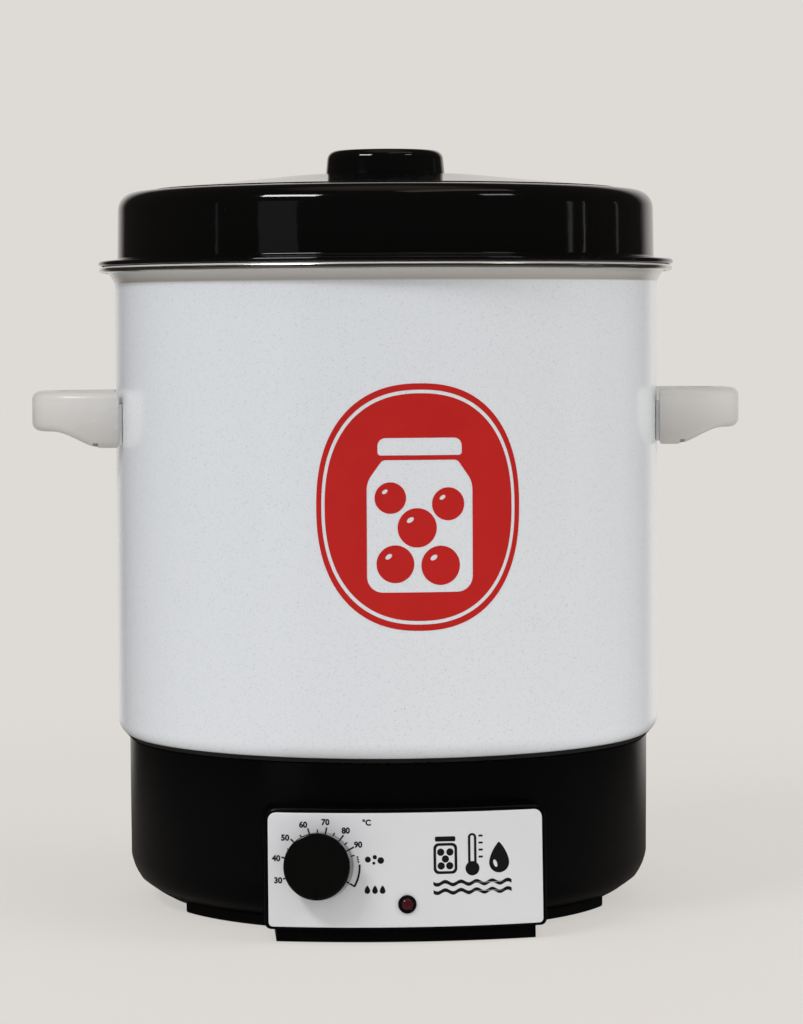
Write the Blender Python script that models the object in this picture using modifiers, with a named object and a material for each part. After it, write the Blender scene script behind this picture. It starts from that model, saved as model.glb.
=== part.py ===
"""Electric water bath canner, about 29 litres.

An enamelled pot with a lid and two loop handles stands on a plastic base that holds
the heater, the thermostat and a control panel. All sizes are in metres, +Z is up and
the panel faces -Y. The origin is at the middle of the part's foot print, on the floor.
"""
from math import acos, asin, atan2, ceil, cos, pi, radians, sin, sqrt, tan

import bmesh
import bpy
from mathutils import Matrix, Vector

# Clearances, overruns and counts that all pieces share
GAP = 0.0003
OVERRUN = 0.004
WELD_DISTANCE = 0.00001
ROUND_SIDES = 36
DISC_SIDES = 24
PILOT_SIDES = 16
SMALL_SIDES = 12
TINY_SIDES = 8
PAN_HEAD_SHARE = 0.6
PAN_CROWN_SHARE = 0.75

# Pot: a drawn cylinder with a flared neck and a flat flange
POT_RADIUS = 0.176
POT_HEIGHT = 0.302
POT_METAL = 0.0012
POT_CORNER_RADIUS = 0.011
NECK_RADIUS = 0.006
FLANGE_WIDTH = 0.00245

# Rim band, folded over the flange
BAND_METAL = 0.00125
BAND_LAP = 0.0028

# Lid
LID_METAL = 0.0009
LID_WALL_INSET = 0.0018
LID_DRAFT = 0.0007
LID_WALL_HEIGHT = 0.0256
LID_SHOULDER_RADIUS = 0.015
LID_CROWN_RISE = 0.0114
LID_FLAT_RADIUS = 0.060
LID_CROWN_BOW = 0.2
LID_CROWN_MIDDLE_SHARE = 0.5
LID_BRIM_FALL = 0.0029
LID_BRIM_FILLET = 0.0022
LID_BRIM_OVERHANG = 0.0006
LID_CURL_RADIUS = 0.0016
LID_CURL_START = radians(75)
LID_CURL_END = radians(-120)
LID_CURL_STEPS = 3
LID_LIFT = 0.35

# Lid knob, its screw and washer
LID_KNOB_RADIUS = 0.0377
LID_KNOB_TAPER = 0.0012
LID_KNOB_HEIGHT = 0.016
LID_KNOB_EDGE = 0.006
LID_KNOB_WALL = 0.004
LID_KNOB_BOSS_RADIUS = 0.008
LID_KNOB_BORE_DEPTH = 0.011
KNOB_SCREW_RADIUS = 0.0016
KNOB_SCREW_LENGTH = 0.0125
KNOB_WASHER_RADIUS = 0.009
KNOB_WASHER_THICKNESS = 0.001

# Jar rack: a perforated disc with a skirt that stands on the pot's floor
RACK_CLEARANCE = 0.0148
RACK_METAL = 0.0014
RACK_HEIGHT = 0.0135
RACK_EDGE_RADIUS = 0.003
RACK_FINGER_HOLE_RADIUS = 0.013
RACK_HOLE_RADIUS = 0.0105
RACK_RING_SHARES = ((0.36, 6), (0.72, 12))
RACK_NOTCH_WIDTH = 0.016
RACK_NOTCH_HEIGHT = 0.005
RACK_NOTCH_LINES = 3

# Handles: loops of hard plastic, deeper at the pot than at the tip
HANDLE_TIP_REACH = 0.054
HANDLE_DROP = 0.0785
HANDLE_HALF_DEPTH = 0.0425
HANDLE_BAR_WIDTH = 0.017
HANDLE_ROOT_WIDTH = 0.021
HANDLE_ROOT_HEIGHT = 0.036
HANDLE_TIP_HEIGHT = 0.0256
HANDLE_SWELL_START = 0.008
HANDLE_SWELL_END = 0.038
HANDLE_EDGE_RADIUS = 0.0055
HANDLE_CORNER_POWER = 3.4
HANDLE_PATH_STEPS = 16
HANDLE_ROOT_DEPTH = 0.012

# Handle brackets, welded to the pot, with two tongues each
BRACKET_METAL = 0.002
BRACKET_HEIGHT = 0.026
BRACKET_HALF_WIDTH = 0.041
TONGUE_WIDTH = 0.011
TONGUE_THICKNESS = 0.003
TONGUE_REACH = 0.023
TONGUE_HEIGHT_SHARE = 0.42
HANDLE_SCREW_RADIUS = 0.0018
HANDLE_SCREW_HEAD_RADIUS = 0.0036
HANDLE_SCREW_REACH = 0.0125
HANDLE_SCREW_RECESS = 0.0055

# Base shell
BASE_HEIGHT = 0.106
BASE_INSET = 0.0073
BASE_DRAFT = 0.0003
BASE_WALL = 0.0025
BASE_CORNER_WIDTH = 0.018
BASE_CORNER_HEIGHT = 0.023
BASE_CORNER_SHARES = ((0.88, 0.66), (0.66, 0.36), (0.31, 0.15), (0, 0))
BASE_LIFT = 0.007
BASE_FLANGE_WIDTH = 0.015
BASE_WINDOW_MARGIN = 0.0085
BASE_WINDOW_SIDE_MARGIN = 0.0023

# Gasket between pot and base
GASKET_THICKNESS = 0.0009
GASKET_OUTER_LIP = 0.0026
GASKET_STEPS = 2

# Bottom plate, feet and their screws
PLATE_METAL = 0.0011
PLATE_EDGE_INSET = 0.0045
PLATE_DISH_RADIUS = 0.030
PLATE_DISH_SLOPE = 0.012
PLATE_DISH_RISE = 0.007
VENT_COUNT = 6
VENT_WIDTH = 0.006
VENT_START_SHARE = 0.42
VENT_END_SHARE = 0.74
FOOT_WIDTH = 0.0125
FOOT_EDGE_INSET = 0.0015
FOOT_SPAN = radians(38)
FOOT_STEPS = 4
FOOT_ANGLES = (radians(-135), radians(-45), radians(45), radians(135))
FOOT_NAMES = ("front_left", "front_right", "rear_right", "rear_left")
FOOT_SCREW_RADIUS = 0.0015
FOOT_SCREW_HEAD_RADIUS = 0.0033
FOOT_SCREW_LENGTH = 0.017
FOOT_SCREW_RECESS = 0.0032
POST_RADIUS = 0.0048
POST_HEIGHT = 0.018

# Control housing: a box with a curved front that leans back
HOUSING_HALF_WIDTH = 0.086
HOUSING_LOW = 0.0075
HOUSING_HIGH = 0.0802
HOUSING_WALL = 0.003
HOUSING_TOP_CORNER = 0.0075
HOUSING_LOW_CORNER = 0.004
HOUSING_EDGE = 0.0014
HOUSING_PROJECTION = 0.0223
HOUSING_ARC_RADIUS = 0.330
HOUSING_LEAN = radians(7)
HOUSING_COLUMNS = 8
CORNER_STEPS = 2
HOUSING_BACK_SHARE = 0.6
PLINTH_HALF_WIDTH = 0.079
PLINTH_SETBACK = 0.003
HOUSING_SCREW_LEVEL_SHARE = 0.5
HOUSING_SCREW_RADIUS = 0.0015
HOUSING_SCREW_HEAD_RADIUS = 0.0032
HOUSING_SCREW_LENGTH = 0.0085
HOUSING_BOSS_RADIUS = 0.0045
HOUSING_BOSS_LENGTH = 0.0085

# Panel plate in its recess
PANEL_HALF_WIDTH = 0.0836
PANEL_LOW = 0.0093
PANEL_HIGH = 0.0777
PANEL_TOP_CORNER = 0.005
PANEL_LOW_CORNER = 0.0025
PANEL_THICKNESS = 0.0014
PANEL_RECESS = 0.0011

# Thermostat, its knob and screws
DIAL_X = -0.0525
DIAL_Z = 0.046
DIAL_KNOB_RADIUS = 0.0208
DIAL_KNOB_TAPER = 0.0006
DIAL_KNOB_HEIGHT = 0.0155
DIAL_KNOB_EDGE = 0.0014
DIAL_KNOB_WALL = 0.002
DIAL_KNOB_BOSS_RADIUS = 0.0055
DIAL_KNOB_LIFT = 0.0008
DIAL_GROOVE_WIDTH = 0.0012
DIAL_GROOVE_DEPTH = 0.0006
DIAL_GROOVE_START_SHARE = 0.55
SHAFT_RADIUS = 0.003
SHAFT_FLAT_DEPTH = 0.0008
SHAFT_BORE_DEPTH = 0.012
THERMOSTAT_WIDTH = 0.030
THERMOSTAT_HEIGHT = 0.032
THERMOSTAT_DEPTH = 0.022
THERMOSTAT_EDGE = 0.0015
BUSH_RADIUS = 0.005
THERMOSTAT_SCREW_SPREAD = 0.011
THERMOSTAT_SCREW_RADIUS = 0.0016
THERMOSTAT_SCREW_HEAD_RADIUS = 0.003
THERMOSTAT_SCREW_LENGTH = 0.008

# Pilot light
PILOT_X = 0.0
PILOT_Z = 0.023
PILOT_BEZEL_RADIUS = 0.0056
PILOT_BEZEL_HEIGHT = 0.0012
PILOT_BARREL_RADIUS = 0.0046
PILOT_BARREL_LENGTH = 0.016
PILOT_LENS_RADIUS = 0.0036
PILOT_LENS_DEPTH = 0.005
PILOT_LENS_DOME = 0.0012
DOME_SHOULDER_SHARE = 0.7

# Heater under the pot's floor
SPREADER_INSET = 0.0409
SPREADER_THICKNESS = 0.003
ELEMENT_INSET = 0.021
ELEMENT_TUBE_RADIUS = 0.00425
ELEMENT_END_SPREAD = 0.010
ELEMENT_RING_STEPS = 24
ELEMENT_BEND_RADIUS = 0.006
TERMINAL_OPENING_RADIUS = 0.019
PRESSURE_PLATE_INSET = 0.019
PRESSURE_PLATE_METAL = 0.0015
PRESSURE_PLATE_RIM = 0.006
CUTOUT_RADIUS = 0.008
CUTOUT_HEIGHT = 0.007
CUTOUT_WAIST_SHARE = 0.7
CUTOUT_REACH_SHARE = 0.6
CUTOUT_ANGLE = radians(160)
SHIELD_LEVEL_SHARE = 0.68
SHIELD_INSET = 0.0379
SHIELD_METAL = 0.001
SHIELD_RIM = 0.006

# Centre rod, its nuts and spacer
ROD_RADIUS = 0.004
ROD_HEAD_RADIUS = 0.012
ROD_HEAD_THICKNESS = 0.002
ROD_END_MARGIN = 0.0015
NUT_RADIUS = 0.0075
NUT_HEIGHT = 0.0065
SPACER_WALL = 0.0025

# Temperature sensor
BULB_RADIUS = 0.003
BULB_LENGTH = 0.060
BULB_REACH = 0.009
CAPILLARY_RADIUS = 0.001
CLIP_METAL = 0.001
CLIP_WIDTH = 0.014
CLIP_TAB = 0.014
CLIP_STEPS = 6

# Terminal block, wires and cord gland
BLOCK_WIDTH = 0.036
BLOCK_DEPTH = 0.018
BLOCK_HEIGHT = 0.016
BLOCK_EDGE = 0.0012
BLOCK_PLACE_SHARES = (0.36, 0.51)
BLOCK_SCREW_RADIUS = 0.0015
BLOCK_SCREW_HEAD_RADIUS = 0.003
WIRE_RADIUS = 0.0012
WIRE_SUPPLY_SHARES = ((0.33, 0.12, 0.3), (0.16, -0.3, 0.28), (-0.12, -0.62, 0.3))
WIRE_HEATER_SHARES = ((-0.52, -0.62, 0.44), (-0.6, -0.1, 0.42), (-0.3, 0.36, 0.42))
WIRE_RETURN_SHARES = ((0.17, 0.56, 0.36),)
WIRE_LEAD_SHARE = 0.12
GLAND_LEVEL_SHARE = 0.44
GLAND_FLANGE_RADIUS = 0.010
GLAND_FLANGE_THICKNESS = 0.003
GLAND_BODY_RADIUS = 0.0065
GLAND_BORE_RADIUS = 0.0042
GLAND_COLLAR_RADIUS = 0.0085
GLAND_COLLAR_THICKNESS = 0.0022
GLAND_SEAT_DROP = 0.0001

# Levels and radii that follow from the sizes above
pot_bottom = BASE_HEIGHT + GAP + GASKET_THICKNESS + GAP
pot_top = pot_bottom + POT_HEIGHT
flange_under = pot_top - POT_METAL
floor_level = pot_bottom + POT_METAL
flange_tip = POT_RADIUS + NECK_RADIUS + FLANGE_WIDTH
bead_radius = BAND_METAL + GAP + POT_METAL / 2
band_tip = flange_tip + GAP + BAND_METAL
bead_centre = (band_tip - bead_radius, pot_top - POT_METAL / 2)
curl_centre_radius = band_tip + LID_BRIM_OVERHANG - LID_CURL_RADIUS
curl_reach = bead_radius + GAP + LID_CURL_RADIUS
curl_rise = sqrt(curl_reach**2 - (curl_centre_radius - bead_centre[0]) ** 2)
curl_centre = (curl_centre_radius, bead_centre[1] + curl_rise)
brim_level = curl_centre[1] + LID_CURL_RADIUS + LID_BRIM_FALL
shoulder_top = brim_level + LID_WALL_HEIGHT + LID_SHOULDER_RADIUS
lid_top = shoulder_top + LID_CROWN_RISE
knob_base = lid_top + GAP
base_radius = POT_RADIUS - BASE_INSET
base_inner = base_radius - BASE_DRAFT - BASE_WALL
base_foot_radius = base_radius - BASE_DRAFT - BASE_CORNER_WIDTH
plate_top = BASE_LIFT - GAP
plate_radius = base_foot_radius - PLATE_EDGE_INSET
dish_top = plate_top + PLATE_DISH_RISE
post_place_radius = plate_radius - FOOT_WIDTH / 2 + FOOT_EDGE_INSET
front_reach = base_radius + HOUSING_PROJECTION
boss_end = base_radius + HOUSING_BOSS_LENGTH
boss_angle = asin((HOUSING_HALF_WIDTH - HOUSING_BOSS_RADIUS) / boss_end)
panel_proud = PANEL_THICKNESS - PANEL_RECESS + GAP
spreader_radius = base_inner - SPREADER_INSET
pressure_radius = spreader_radius - PRESSURE_PLATE_INSET
element_ring_radius = pressure_radius - ELEMENT_INSET
shield_radius = base_inner - SHIELD_INSET
spreader_top = pot_bottom - GAP
spreader_under = spreader_top - SPREADER_THICKNESS
element_level = spreader_under - GAP - ELEMENT_TUBE_RADIUS
pressure_top = element_level - ELEMENT_TUBE_RADIUS - GAP
pressure_under = pressure_top - PRESSURE_PLATE_METAL
shield_top = BASE_HEIGHT * SHIELD_LEVEL_SHARE
shield_under = shield_top - SHIELD_METAL
terminal_end = shield_under - SHIELD_RIM
handle_tip = POT_RADIUS + HANDLE_TIP_REACH
handle_top = pot_top - HANDLE_DROP
handle_seat = POT_RADIUS + GAP + BRACKET_METAL + GAP
leg_middle = HANDLE_HALF_DEPTH - HANDLE_BAR_WIDTH / 2
tongue_level = handle_top - HANDLE_ROOT_HEIGHT * (1 - TONGUE_HEIGHT_SHARE)
knob_screw_under = lid_top - LID_METAL - GAP - KNOB_WASHER_THICKNESS - GAP


def clear_scene():
    """Remove every object, so that the script can run again in the same file."""
    for old in list(bpy.data.objects):
        bpy.data.objects.remove(old, do_unlink=True)


def new_collection(name):
    """Make a collection in the scene."""
    group = bpy.data.collections.new(name)
    bpy.context.scene.collection.children.link(group)
    return group


def new_material(name, colour, roughness, metallic=0.0):
    """Make a Principled material."""
    made = bpy.data.materials.new(name)
    made.use_nodes = True
    shader = made.node_tree.nodes["Principled BSDF"]
    shader.inputs["Base Color"].default_value = (*colour, 1.0)
    shader.inputs["Roughness"].default_value = roughness
    shader.inputs["Metallic"].default_value = metallic
    return made


def adopt(thing, name, finish, parent=None, place=None):
    """Put an object into the part's collection, or the cutters' if it has no finish."""
    thing.name = name
    for group in list(thing.users_collection):
        group.objects.unlink(thing)
    if finish:
        part_group.objects.link(thing)
        thing.data.materials.append(finish)
    else:
        cutter_group.objects.link(thing)
        thing.hide_render = True
        thing.display_type = "WIRE"
    thing.parent = parent or pot_axis
    if place:
        thing.matrix_basis = place
    return thing


def mesh_object(name, geometry, finish, parent=None, place=None):
    """Make an object from a bmesh, shaded smooth with its sharp edges kept."""
    mesh = bpy.data.meshes.new(name)
    geometry.to_mesh(mesh)
    geometry.free()
    mesh.shade_smooth()
    mesh.set_sharp_from_angle(angle=radians(35))
    thing = bpy.data.objects.new(name, mesh)
    bpy.context.scene.collection.objects.link(thing)
    return adopt(thing, name, finish, parent, place)


def round_corner(before, corner, after, radius, steps):
    """Points of the arc that rounds one corner of an outline."""
    back = (Vector(before) - Vector(corner)).normalized()
    ahead = (Vector(after) - Vector(corner)).normalized()
    half = acos(max(-1, min(1, back.dot(ahead)))) / 2
    middle = Vector(corner) + (back + ahead).normalized() * radius / sin(half)
    start = Vector(corner) + back * radius / tan(half) - middle
    turn = pi - 2 * half
    if back.x * ahead.y - back.y * ahead.x > 0:
        turn = -turn
    swings = [Matrix.Rotation(turn * step / steps, 2) for step in range(steps + 1)]
    return [tuple(middle + swing @ start) for swing in swings]


def rounded(corners, closed=False):
    """An outline whose corners may carry a radius and a step count: (a, b, radius, steps)."""
    points = []
    for number, corner in enumerate(corners):
        if len(corner) == 2:
            points.append(tuple(corner))
            continue
        before = corners[number - 1][:2]
        after = corners[(number + 1) % len(corners)][:2]
        points += round_corner(before, corner[:2], after, corner[2], corner[3])
    return points + points[:1] if closed else points


def arc(centre, radius, start, end, steps):
    """Points on an arc, ends included."""
    angles = [start + (end - start) * step / steps for step in range(steps + 1)]
    return [(centre[0] + radius * cos(a), centre[1] + radius * sin(a)) for a in angles]


def turned(name, outline, finish, wall=0.0, sides=ROUND_SIDES, parent=None, place=None):
    """Turn an outline of (radius, height) points about Z; a wall makes it a shell."""
    closed = outline[0] == outline[-1]
    points = outline[:-1] if closed else outline
    geometry = bmesh.new()
    dots = [geometry.verts.new((radius, 0, height)) for radius, height in points]
    for first, second in zip(dots, dots[1:] + dots[:1] if closed else dots[1:]):
        geometry.edges.new((first, second))
    thing = mesh_object(name, geometry, finish, parent, place)
    screw = thing.modifiers.new("turn", "SCREW")
    screw.steps = sides
    screw.render_steps = sides
    screw.use_merge_vertices = True
    screw.merge_threshold = WELD_DISTANCE
    screw.use_smooth_shade = True
    if wall:
        add_wall(thing, wall)
    return thing


def add_wall(thing, wall):
    """Thicken an open surface towards its inside."""
    solid = thing.modifiers.new("wall", "SOLIDIFY")
    solid.thickness = wall
    solid.offset = -1
    solid.use_even_offset = True


def block(name, size, finish, centre=(0, 0, 0), parent=None, place=None, edge=0.0):
    """A box with optional rounded edges."""
    geometry = bmesh.new()
    bmesh.ops.create_cube(geometry, size=1)
    bmesh.ops.scale(geometry, vec=size, verts=geometry.verts)
    bmesh.ops.translate(geometry, vec=centre, verts=geometry.verts)
    thing = mesh_object(name, geometry, finish, parent, place)
    if edge:
        add_bevel(thing, edge)
    return thing


def add_bevel(thing, width, steps=2):
    """Round the edges of a piece."""
    bevel = thing.modifiers.new("edges", "BEVEL")
    bevel.width = width
    bevel.segments = steps
    bevel.limit_method = "ANGLE"
    bevel.angle_limit = radians(40)


def bar(name, radius, low, high, finish, sides=SMALL_SIDES, parent=None, place=None):
    """A round bar along Z from one height to another."""
    geometry = bmesh.new()
    bmesh.ops.create_cone(
        geometry, cap_ends=True, segments=sides, radius1=radius, radius2=radius, depth=high - low
    )
    bmesh.ops.translate(geometry, vec=(0, 0, (low + high) / 2), verts=geometry.verts)
    return mesh_object(name, geometry, finish, parent, place)


def flat_piece(name, outline, thickness, finish, parent=None, place=None):
    """A filled outline in the XY plane, thickened equally to both sides, as a mesh."""
    curve = bpy.data.curves.new(name, "CURVE")
    curve.dimensions = "2D"
    curve.fill_mode = "BOTH"
    curve.extrude = thickness / 2
    spline = curve.splines.new("POLY")
    spline.points.add(len(outline) - 1)
    for dot, (across, along) in zip(spline.points, outline):
        dot.co = (across, along, 0, 1)
    spline.use_cyclic_u = True
    return curve_to_mesh(name, curve, finish, parent, place)


def curve_to_mesh(name, curve, finish, parent, place):
    """Turn a curve into a welded mesh object."""
    shape = bpy.data.objects.new(name + "_curve", curve)
    bpy.context.scene.collection.objects.link(shape)
    bpy.context.view_layer.update()
    evaluated = shape.evaluated_get(bpy.context.evaluated_depsgraph_get())
    mesh = bpy.data.meshes.new_from_object(evaluated)
    bpy.data.objects.remove(shape, do_unlink=True)
    geometry = bmesh.new()
    geometry.from_mesh(mesh)
    bpy.data.meshes.remove(mesh)
    bmesh.ops.remove_doubles(geometry, verts=geometry.verts, dist=WELD_DISTANCE)
    bmesh.ops.recalc_face_normals(geometry, faces=geometry.faces)
    return mesh_object(name, geometry, finish, parent, place)


def tube(name, points, radius, finish, resolution=1):
    """A round tube along a list of points."""
    curve = bpy.data.curves.new(name, "CURVE")
    curve.dimensions = "3D"
    curve.bevel_depth = radius
    curve.bevel_resolution = resolution
    curve.use_fill_caps = True
    spline = curve.splines.new("POLY")
    spline.points.add(len(points) - 1)
    for dot, point in zip(spline.points, points):
        dot.co = (*point, 1)
    return adopt(bpy.data.objects.new(name, curve), name, finish)


def smooth_route(points, steps=2):
    """A smooth curve through points, straight where it starts and where it ends."""
    first, *between, last = points
    points = [first, (first + between[0]) / 2, *between, (between[-1] + last) / 2, last]
    ends = [points[0] * 2 - points[1], *points, points[-1] * 2 - points[-2]]
    route = []
    for before, first, second, after in zip(ends, ends[1:], ends[2:], ends[3:]):
        for step in range(steps):
            t = step / steps
            pull = (second - before) * t + (2 * before - 5 * first + 4 * second - after) * t**2
            route.append(first + (pull + (3 * first - before - 3 * second + after) * t**3) / 2)
    return [*route, points[-1]]


def combine(thing, tool, operation):
    """Add a Boolean modifier."""
    boolean = thing.modifiers.new(tool.name, "BOOLEAN")
    boolean.operation = operation
    boolean.solver = "EXACT"
    boolean.object = tool


def cut(thing, *tools):
    """Cut tools out of a piece."""
    for tool in tools:
        combine(thing, tool, "DIFFERENCE")


def fuse(thing, *tools):
    """Join tools to a piece as one body."""
    for tool in tools:
        combine(thing, tool, "UNION")


def pan_screw(name, shank_radius, head_radius, length, parent=None, place=None):
    """A pan head screw: the head's seat is at height 0 and the shank points up."""
    head_height = head_radius * PAN_HEAD_SHARE
    crown_radius = head_radius * PAN_CROWN_SHARE
    outline = [
        (0, length),
        (shank_radius, length),
        (shank_radius, 0),
        (head_radius, 0),
        (crown_radius, -head_height),
        (0, -head_height),
    ]
    return turned(name, outline, screw_steel, sides=TINY_SIDES, parent=parent, place=place)


def hex_nut(name, under):
    """A nut on the centre rod, with its lower face at the given height."""
    nut = bar(name, NUT_RADIUS, under, under + NUT_HEIGHT, screw_steel, sides=6)
    cut(nut, bar(name + "_bore", ROD_RADIUS + GAP, under - OVERRUN, under + NUT_HEIGHT + OVERRUN, None))
    return nut


def shares_to_place(shares):
    """A place inside the base, from shares of its inner radius and its height."""
    across, along, up = shares
    return Vector((across * base_inner, along * base_inner, up * BASE_HEIGHT))


def front_surface(across, height):
    """Y of the housing's front: an arc in plan that leans back with height."""
    sag = HOUSING_ARC_RADIUS - sqrt(HOUSING_ARC_RADIUS**2 - across**2)
    return -front_reach + sag + (height - HOUSING_LOW) * tan(HOUSING_LEAN)


def front_frame(across, height, proud=0.0):
    """A frame on the housing's front: X to the right, Z along the outward normal."""
    turn = asin(across / HOUSING_ARC_RADIUS)
    normal = Vector((tan(turn), -1, tan(HOUSING_LEAN))).normalized()
    right = Vector((cos(turn), sin(turn), 0))
    up = normal.cross(right)
    origin = Vector((across, front_surface(across, height), height)) + normal * proud
    frame = Matrix((right, up, normal)).transposed().to_4x4()
    frame.translation = origin
    return frame


def column_places(half_width, corner):
    """Places across a panel: close together in its corners, even between them."""
    bends = [corner * (1 - sin(pi / 2 * step / CORNER_STEPS)) for step in range(CORNER_STEPS + 1)]
    flat = half_width - corner
    middle = [-flat + 2 * flat * step / HOUSING_COLUMNS for step in range(1, HOUSING_COLUMNS)]
    left = [-half_width + bend for bend in reversed(bends)]
    right = [half_width - bend for bend in bends]
    return left + middle + right


def corner_inset(across, half_width, corner):
    """How far a rounded corner draws the edge in at one place across the panel."""
    past = abs(across) - (half_width - corner)
    if past <= 0:
        return 0.0
    return corner - sqrt(max(0.0, corner**2 - past**2))


def bent_sheet(half_width, low, high, low_corner, high_corner, proud):
    """An open sheet that follows the housing's front, as a bmesh facing forwards."""
    places = column_places(half_width, high_corner)
    geometry = bmesh.new()
    bmesh.ops.create_grid(geometry, x_segments=len(places) - 1, y_segments=1, size=1)
    for dot in geometry.verts:
        across = places[round((dot.co.x + 1) / 2 * (len(places) - 1))]
        if dot.co.y > 0:
            height = high - corner_inset(across, half_width, high_corner)
        else:
            height = low + corner_inset(across, half_width, low_corner)
        dot.co = (across, front_surface(across, height) - proud, height)
    return geometry


def make_pot():
    """Pot shell and the metal band over its rim."""
    outline = rounded(
        [
            (flange_tip, flange_under),
            (POT_RADIUS, flange_under, NECK_RADIUS, 2),
            (POT_RADIUS, pot_bottom, POT_CORNER_RADIUS, 3),
            (0, pot_bottom),
        ]
    )
    turned("pot_shell", outline, enamel_white, wall=POT_METAL)

    top = pot_top + GAP + BAND_METAL
    low = flange_under - GAP - BAND_METAL
    lap = flange_tip - BAND_LAP
    low_lap = POT_RADIUS + NECK_RADIUS + GAP
    band = [(lap, top), *arc(bead_centre, bead_radius, pi / 2, -pi / 2, 3), (low_lap, low)]
    band += [(low_lap, flange_under - GAP), (flange_tip + GAP, flange_under - GAP)]
    band += [(flange_tip + GAP, pot_top + GAP), (lap, pot_top + GAP), (lap, top)]
    turned("rim_band", band, rim_steel)


def make_lid():
    """Lid shell, its knob and what holds the knob."""
    wall_low = POT_RADIUS - LID_WALL_INSET
    wall_high = wall_low - LID_DRAFT
    share = LID_CROWN_MIDDLE_SHARE
    fall = LID_CROWN_RISE * share * (1 + LID_CROWN_BOW - LID_CROWN_BOW * share)
    middle = LID_FLAT_RADIUS + (wall_high - LID_FLAT_RADIUS) * share
    outline = rounded(
        [
            (KNOB_SCREW_RADIUS + GAP, lid_top),
            (LID_FLAT_RADIUS, lid_top),
            (middle, lid_top - fall),
            (wall_high, shoulder_top, LID_SHOULDER_RADIUS, 3),
            (wall_low, brim_level, LID_BRIM_FILLET, 1),
            *arc(curl_centre, LID_CURL_RADIUS, LID_CURL_START, LID_CURL_END, LID_CURL_STEPS),
        ]
    )
    turned("lid_shell", outline, enamel_black, wall=LID_METAL)

    top = LID_KNOB_HEIGHT
    side = LID_KNOB_RADIUS - LID_KNOB_WALL
    bore = KNOB_SCREW_RADIUS + GAP
    knob = rounded(
        [
            (0, top),
            (LID_KNOB_RADIUS - LID_KNOB_TAPER, top, LID_KNOB_EDGE, 3),
            (LID_KNOB_RADIUS, 0),
            (side, 0),
            (side, top - LID_KNOB_WALL),
            (LID_KNOB_BOSS_RADIUS, top - LID_KNOB_WALL),
            (LID_KNOB_BOSS_RADIUS, 0),
            (bore, 0),
            (bore, LID_KNOB_BORE_DEPTH),
            (0, LID_KNOB_BORE_DEPTH),
        ]
    )
    on_lid = Matrix.Translation((0, 0, knob_base))
    turned("lid_knob", knob, knob_plastic, sides=DISC_SIDES, place=on_lid)

    washer_top = lid_top - LID_METAL - GAP
    washer_low = washer_top - KNOB_WASHER_THICKNESS
    hole = KNOB_SCREW_RADIUS + GAP
    washer = [(hole, washer_top), (KNOB_WASHER_RADIUS, washer_top), (KNOB_WASHER_RADIUS, washer_low)]
    washer += [(hole, washer_low), (hole, washer_top)]
    turned("lid_knob_washer", washer, screw_steel, sides=SMALL_SIDES)
    under_lid = Matrix.Translation((0, 0, knob_screw_under))
    head = KNOB_SCREW_RADIUS * 2
    pan_screw("lid_knob_screw", KNOB_SCREW_RADIUS, head, KNOB_SCREW_LENGTH, place=under_lid)


def make_rack():
    """Perforated rack on the pot's floor."""
    radius = POT_RADIUS - POT_METAL - RACK_CLEARANCE
    low = floor_level + GAP
    top = low + RACK_HEIGHT
    outline = rounded(
        [
            (RACK_FINGER_HOLE_RADIUS, top),
            (radius, top, RACK_EDGE_RADIUS, 1),
            (radius, low),
        ]
    )
    rack = turned("jar_rack", outline, rack_steel, wall=RACK_METAL)

    holes = bmesh.new()
    for share, count in RACK_RING_SHARES:
        for number in range(count):
            angle = 2 * pi * number / count
            place = Matrix.Translation((radius * share * cos(angle), radius * share * sin(angle), top))
            bmesh.ops.create_cone(
                holes,
                cap_ends=True,
                segments=8,
                radius1=RACK_HOLE_RADIUS,
                radius2=RACK_HOLE_RADIUS,
                depth=OVERRUN * 2,
                matrix=place,
            )
    cut(rack, mesh_object("rack_holes", holes, None))

    for number in range(RACK_NOTCH_LINES):
        size = ((radius + OVERRUN) * 2, RACK_NOTCH_WIDTH, RACK_NOTCH_HEIGHT * 2)
        turn = Matrix.Rotation(pi * number / RACK_NOTCH_LINES, 4, "Z")
        notch = block(f"rack_notch_{number + 1}", size, None, centre=(0, 0, low), place=turn)
        cut(rack, notch)


def handle_underside(reach):
    """Height of a handle's underside at a distance from the pot's wall."""
    share = (reach - HANDLE_SWELL_START) / (HANDLE_SWELL_END - HANDLE_SWELL_START)
    share = max(0.0, min(1.0, share))
    ease = share * share * (3 - 2 * share)
    return handle_top - HANDLE_ROOT_HEIGHT + (HANDLE_ROOT_HEIGHT - HANDLE_TIP_HEIGHT) * ease


def handle_section(middle, across, reach):
    """One rounded rectangle of a handle: twelve points round its bar."""
    share = max(0.0, min(1.0, reach / HANDLE_SWELL_END))
    width = HANDLE_ROOT_WIDTH + (HANDLE_BAR_WIDTH - HANDLE_ROOT_WIDTH) * share
    low = handle_underside(reach)
    half_width = width / 2 - HANDLE_EDGE_RADIUS
    half_height = (handle_top - low) / 2 - HANDLE_EDGE_RADIUS
    level = (handle_top + low) / 2
    points = []
    for quarter in range(4):
        side = 1 if quarter in (0, 3) else -1
        rise = 1 if quarter < 2 else -1
        for step in range(3):
            angle = pi / 2 * (quarter + step / 2)
            out = side * half_width + HANDLE_EDGE_RADIUS * cos(angle)
            up = rise * half_height + HANDLE_EDGE_RADIUS * sin(angle)
            points.append(middle + across * out + Vector((0, 0, level + up)))
    return points


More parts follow.
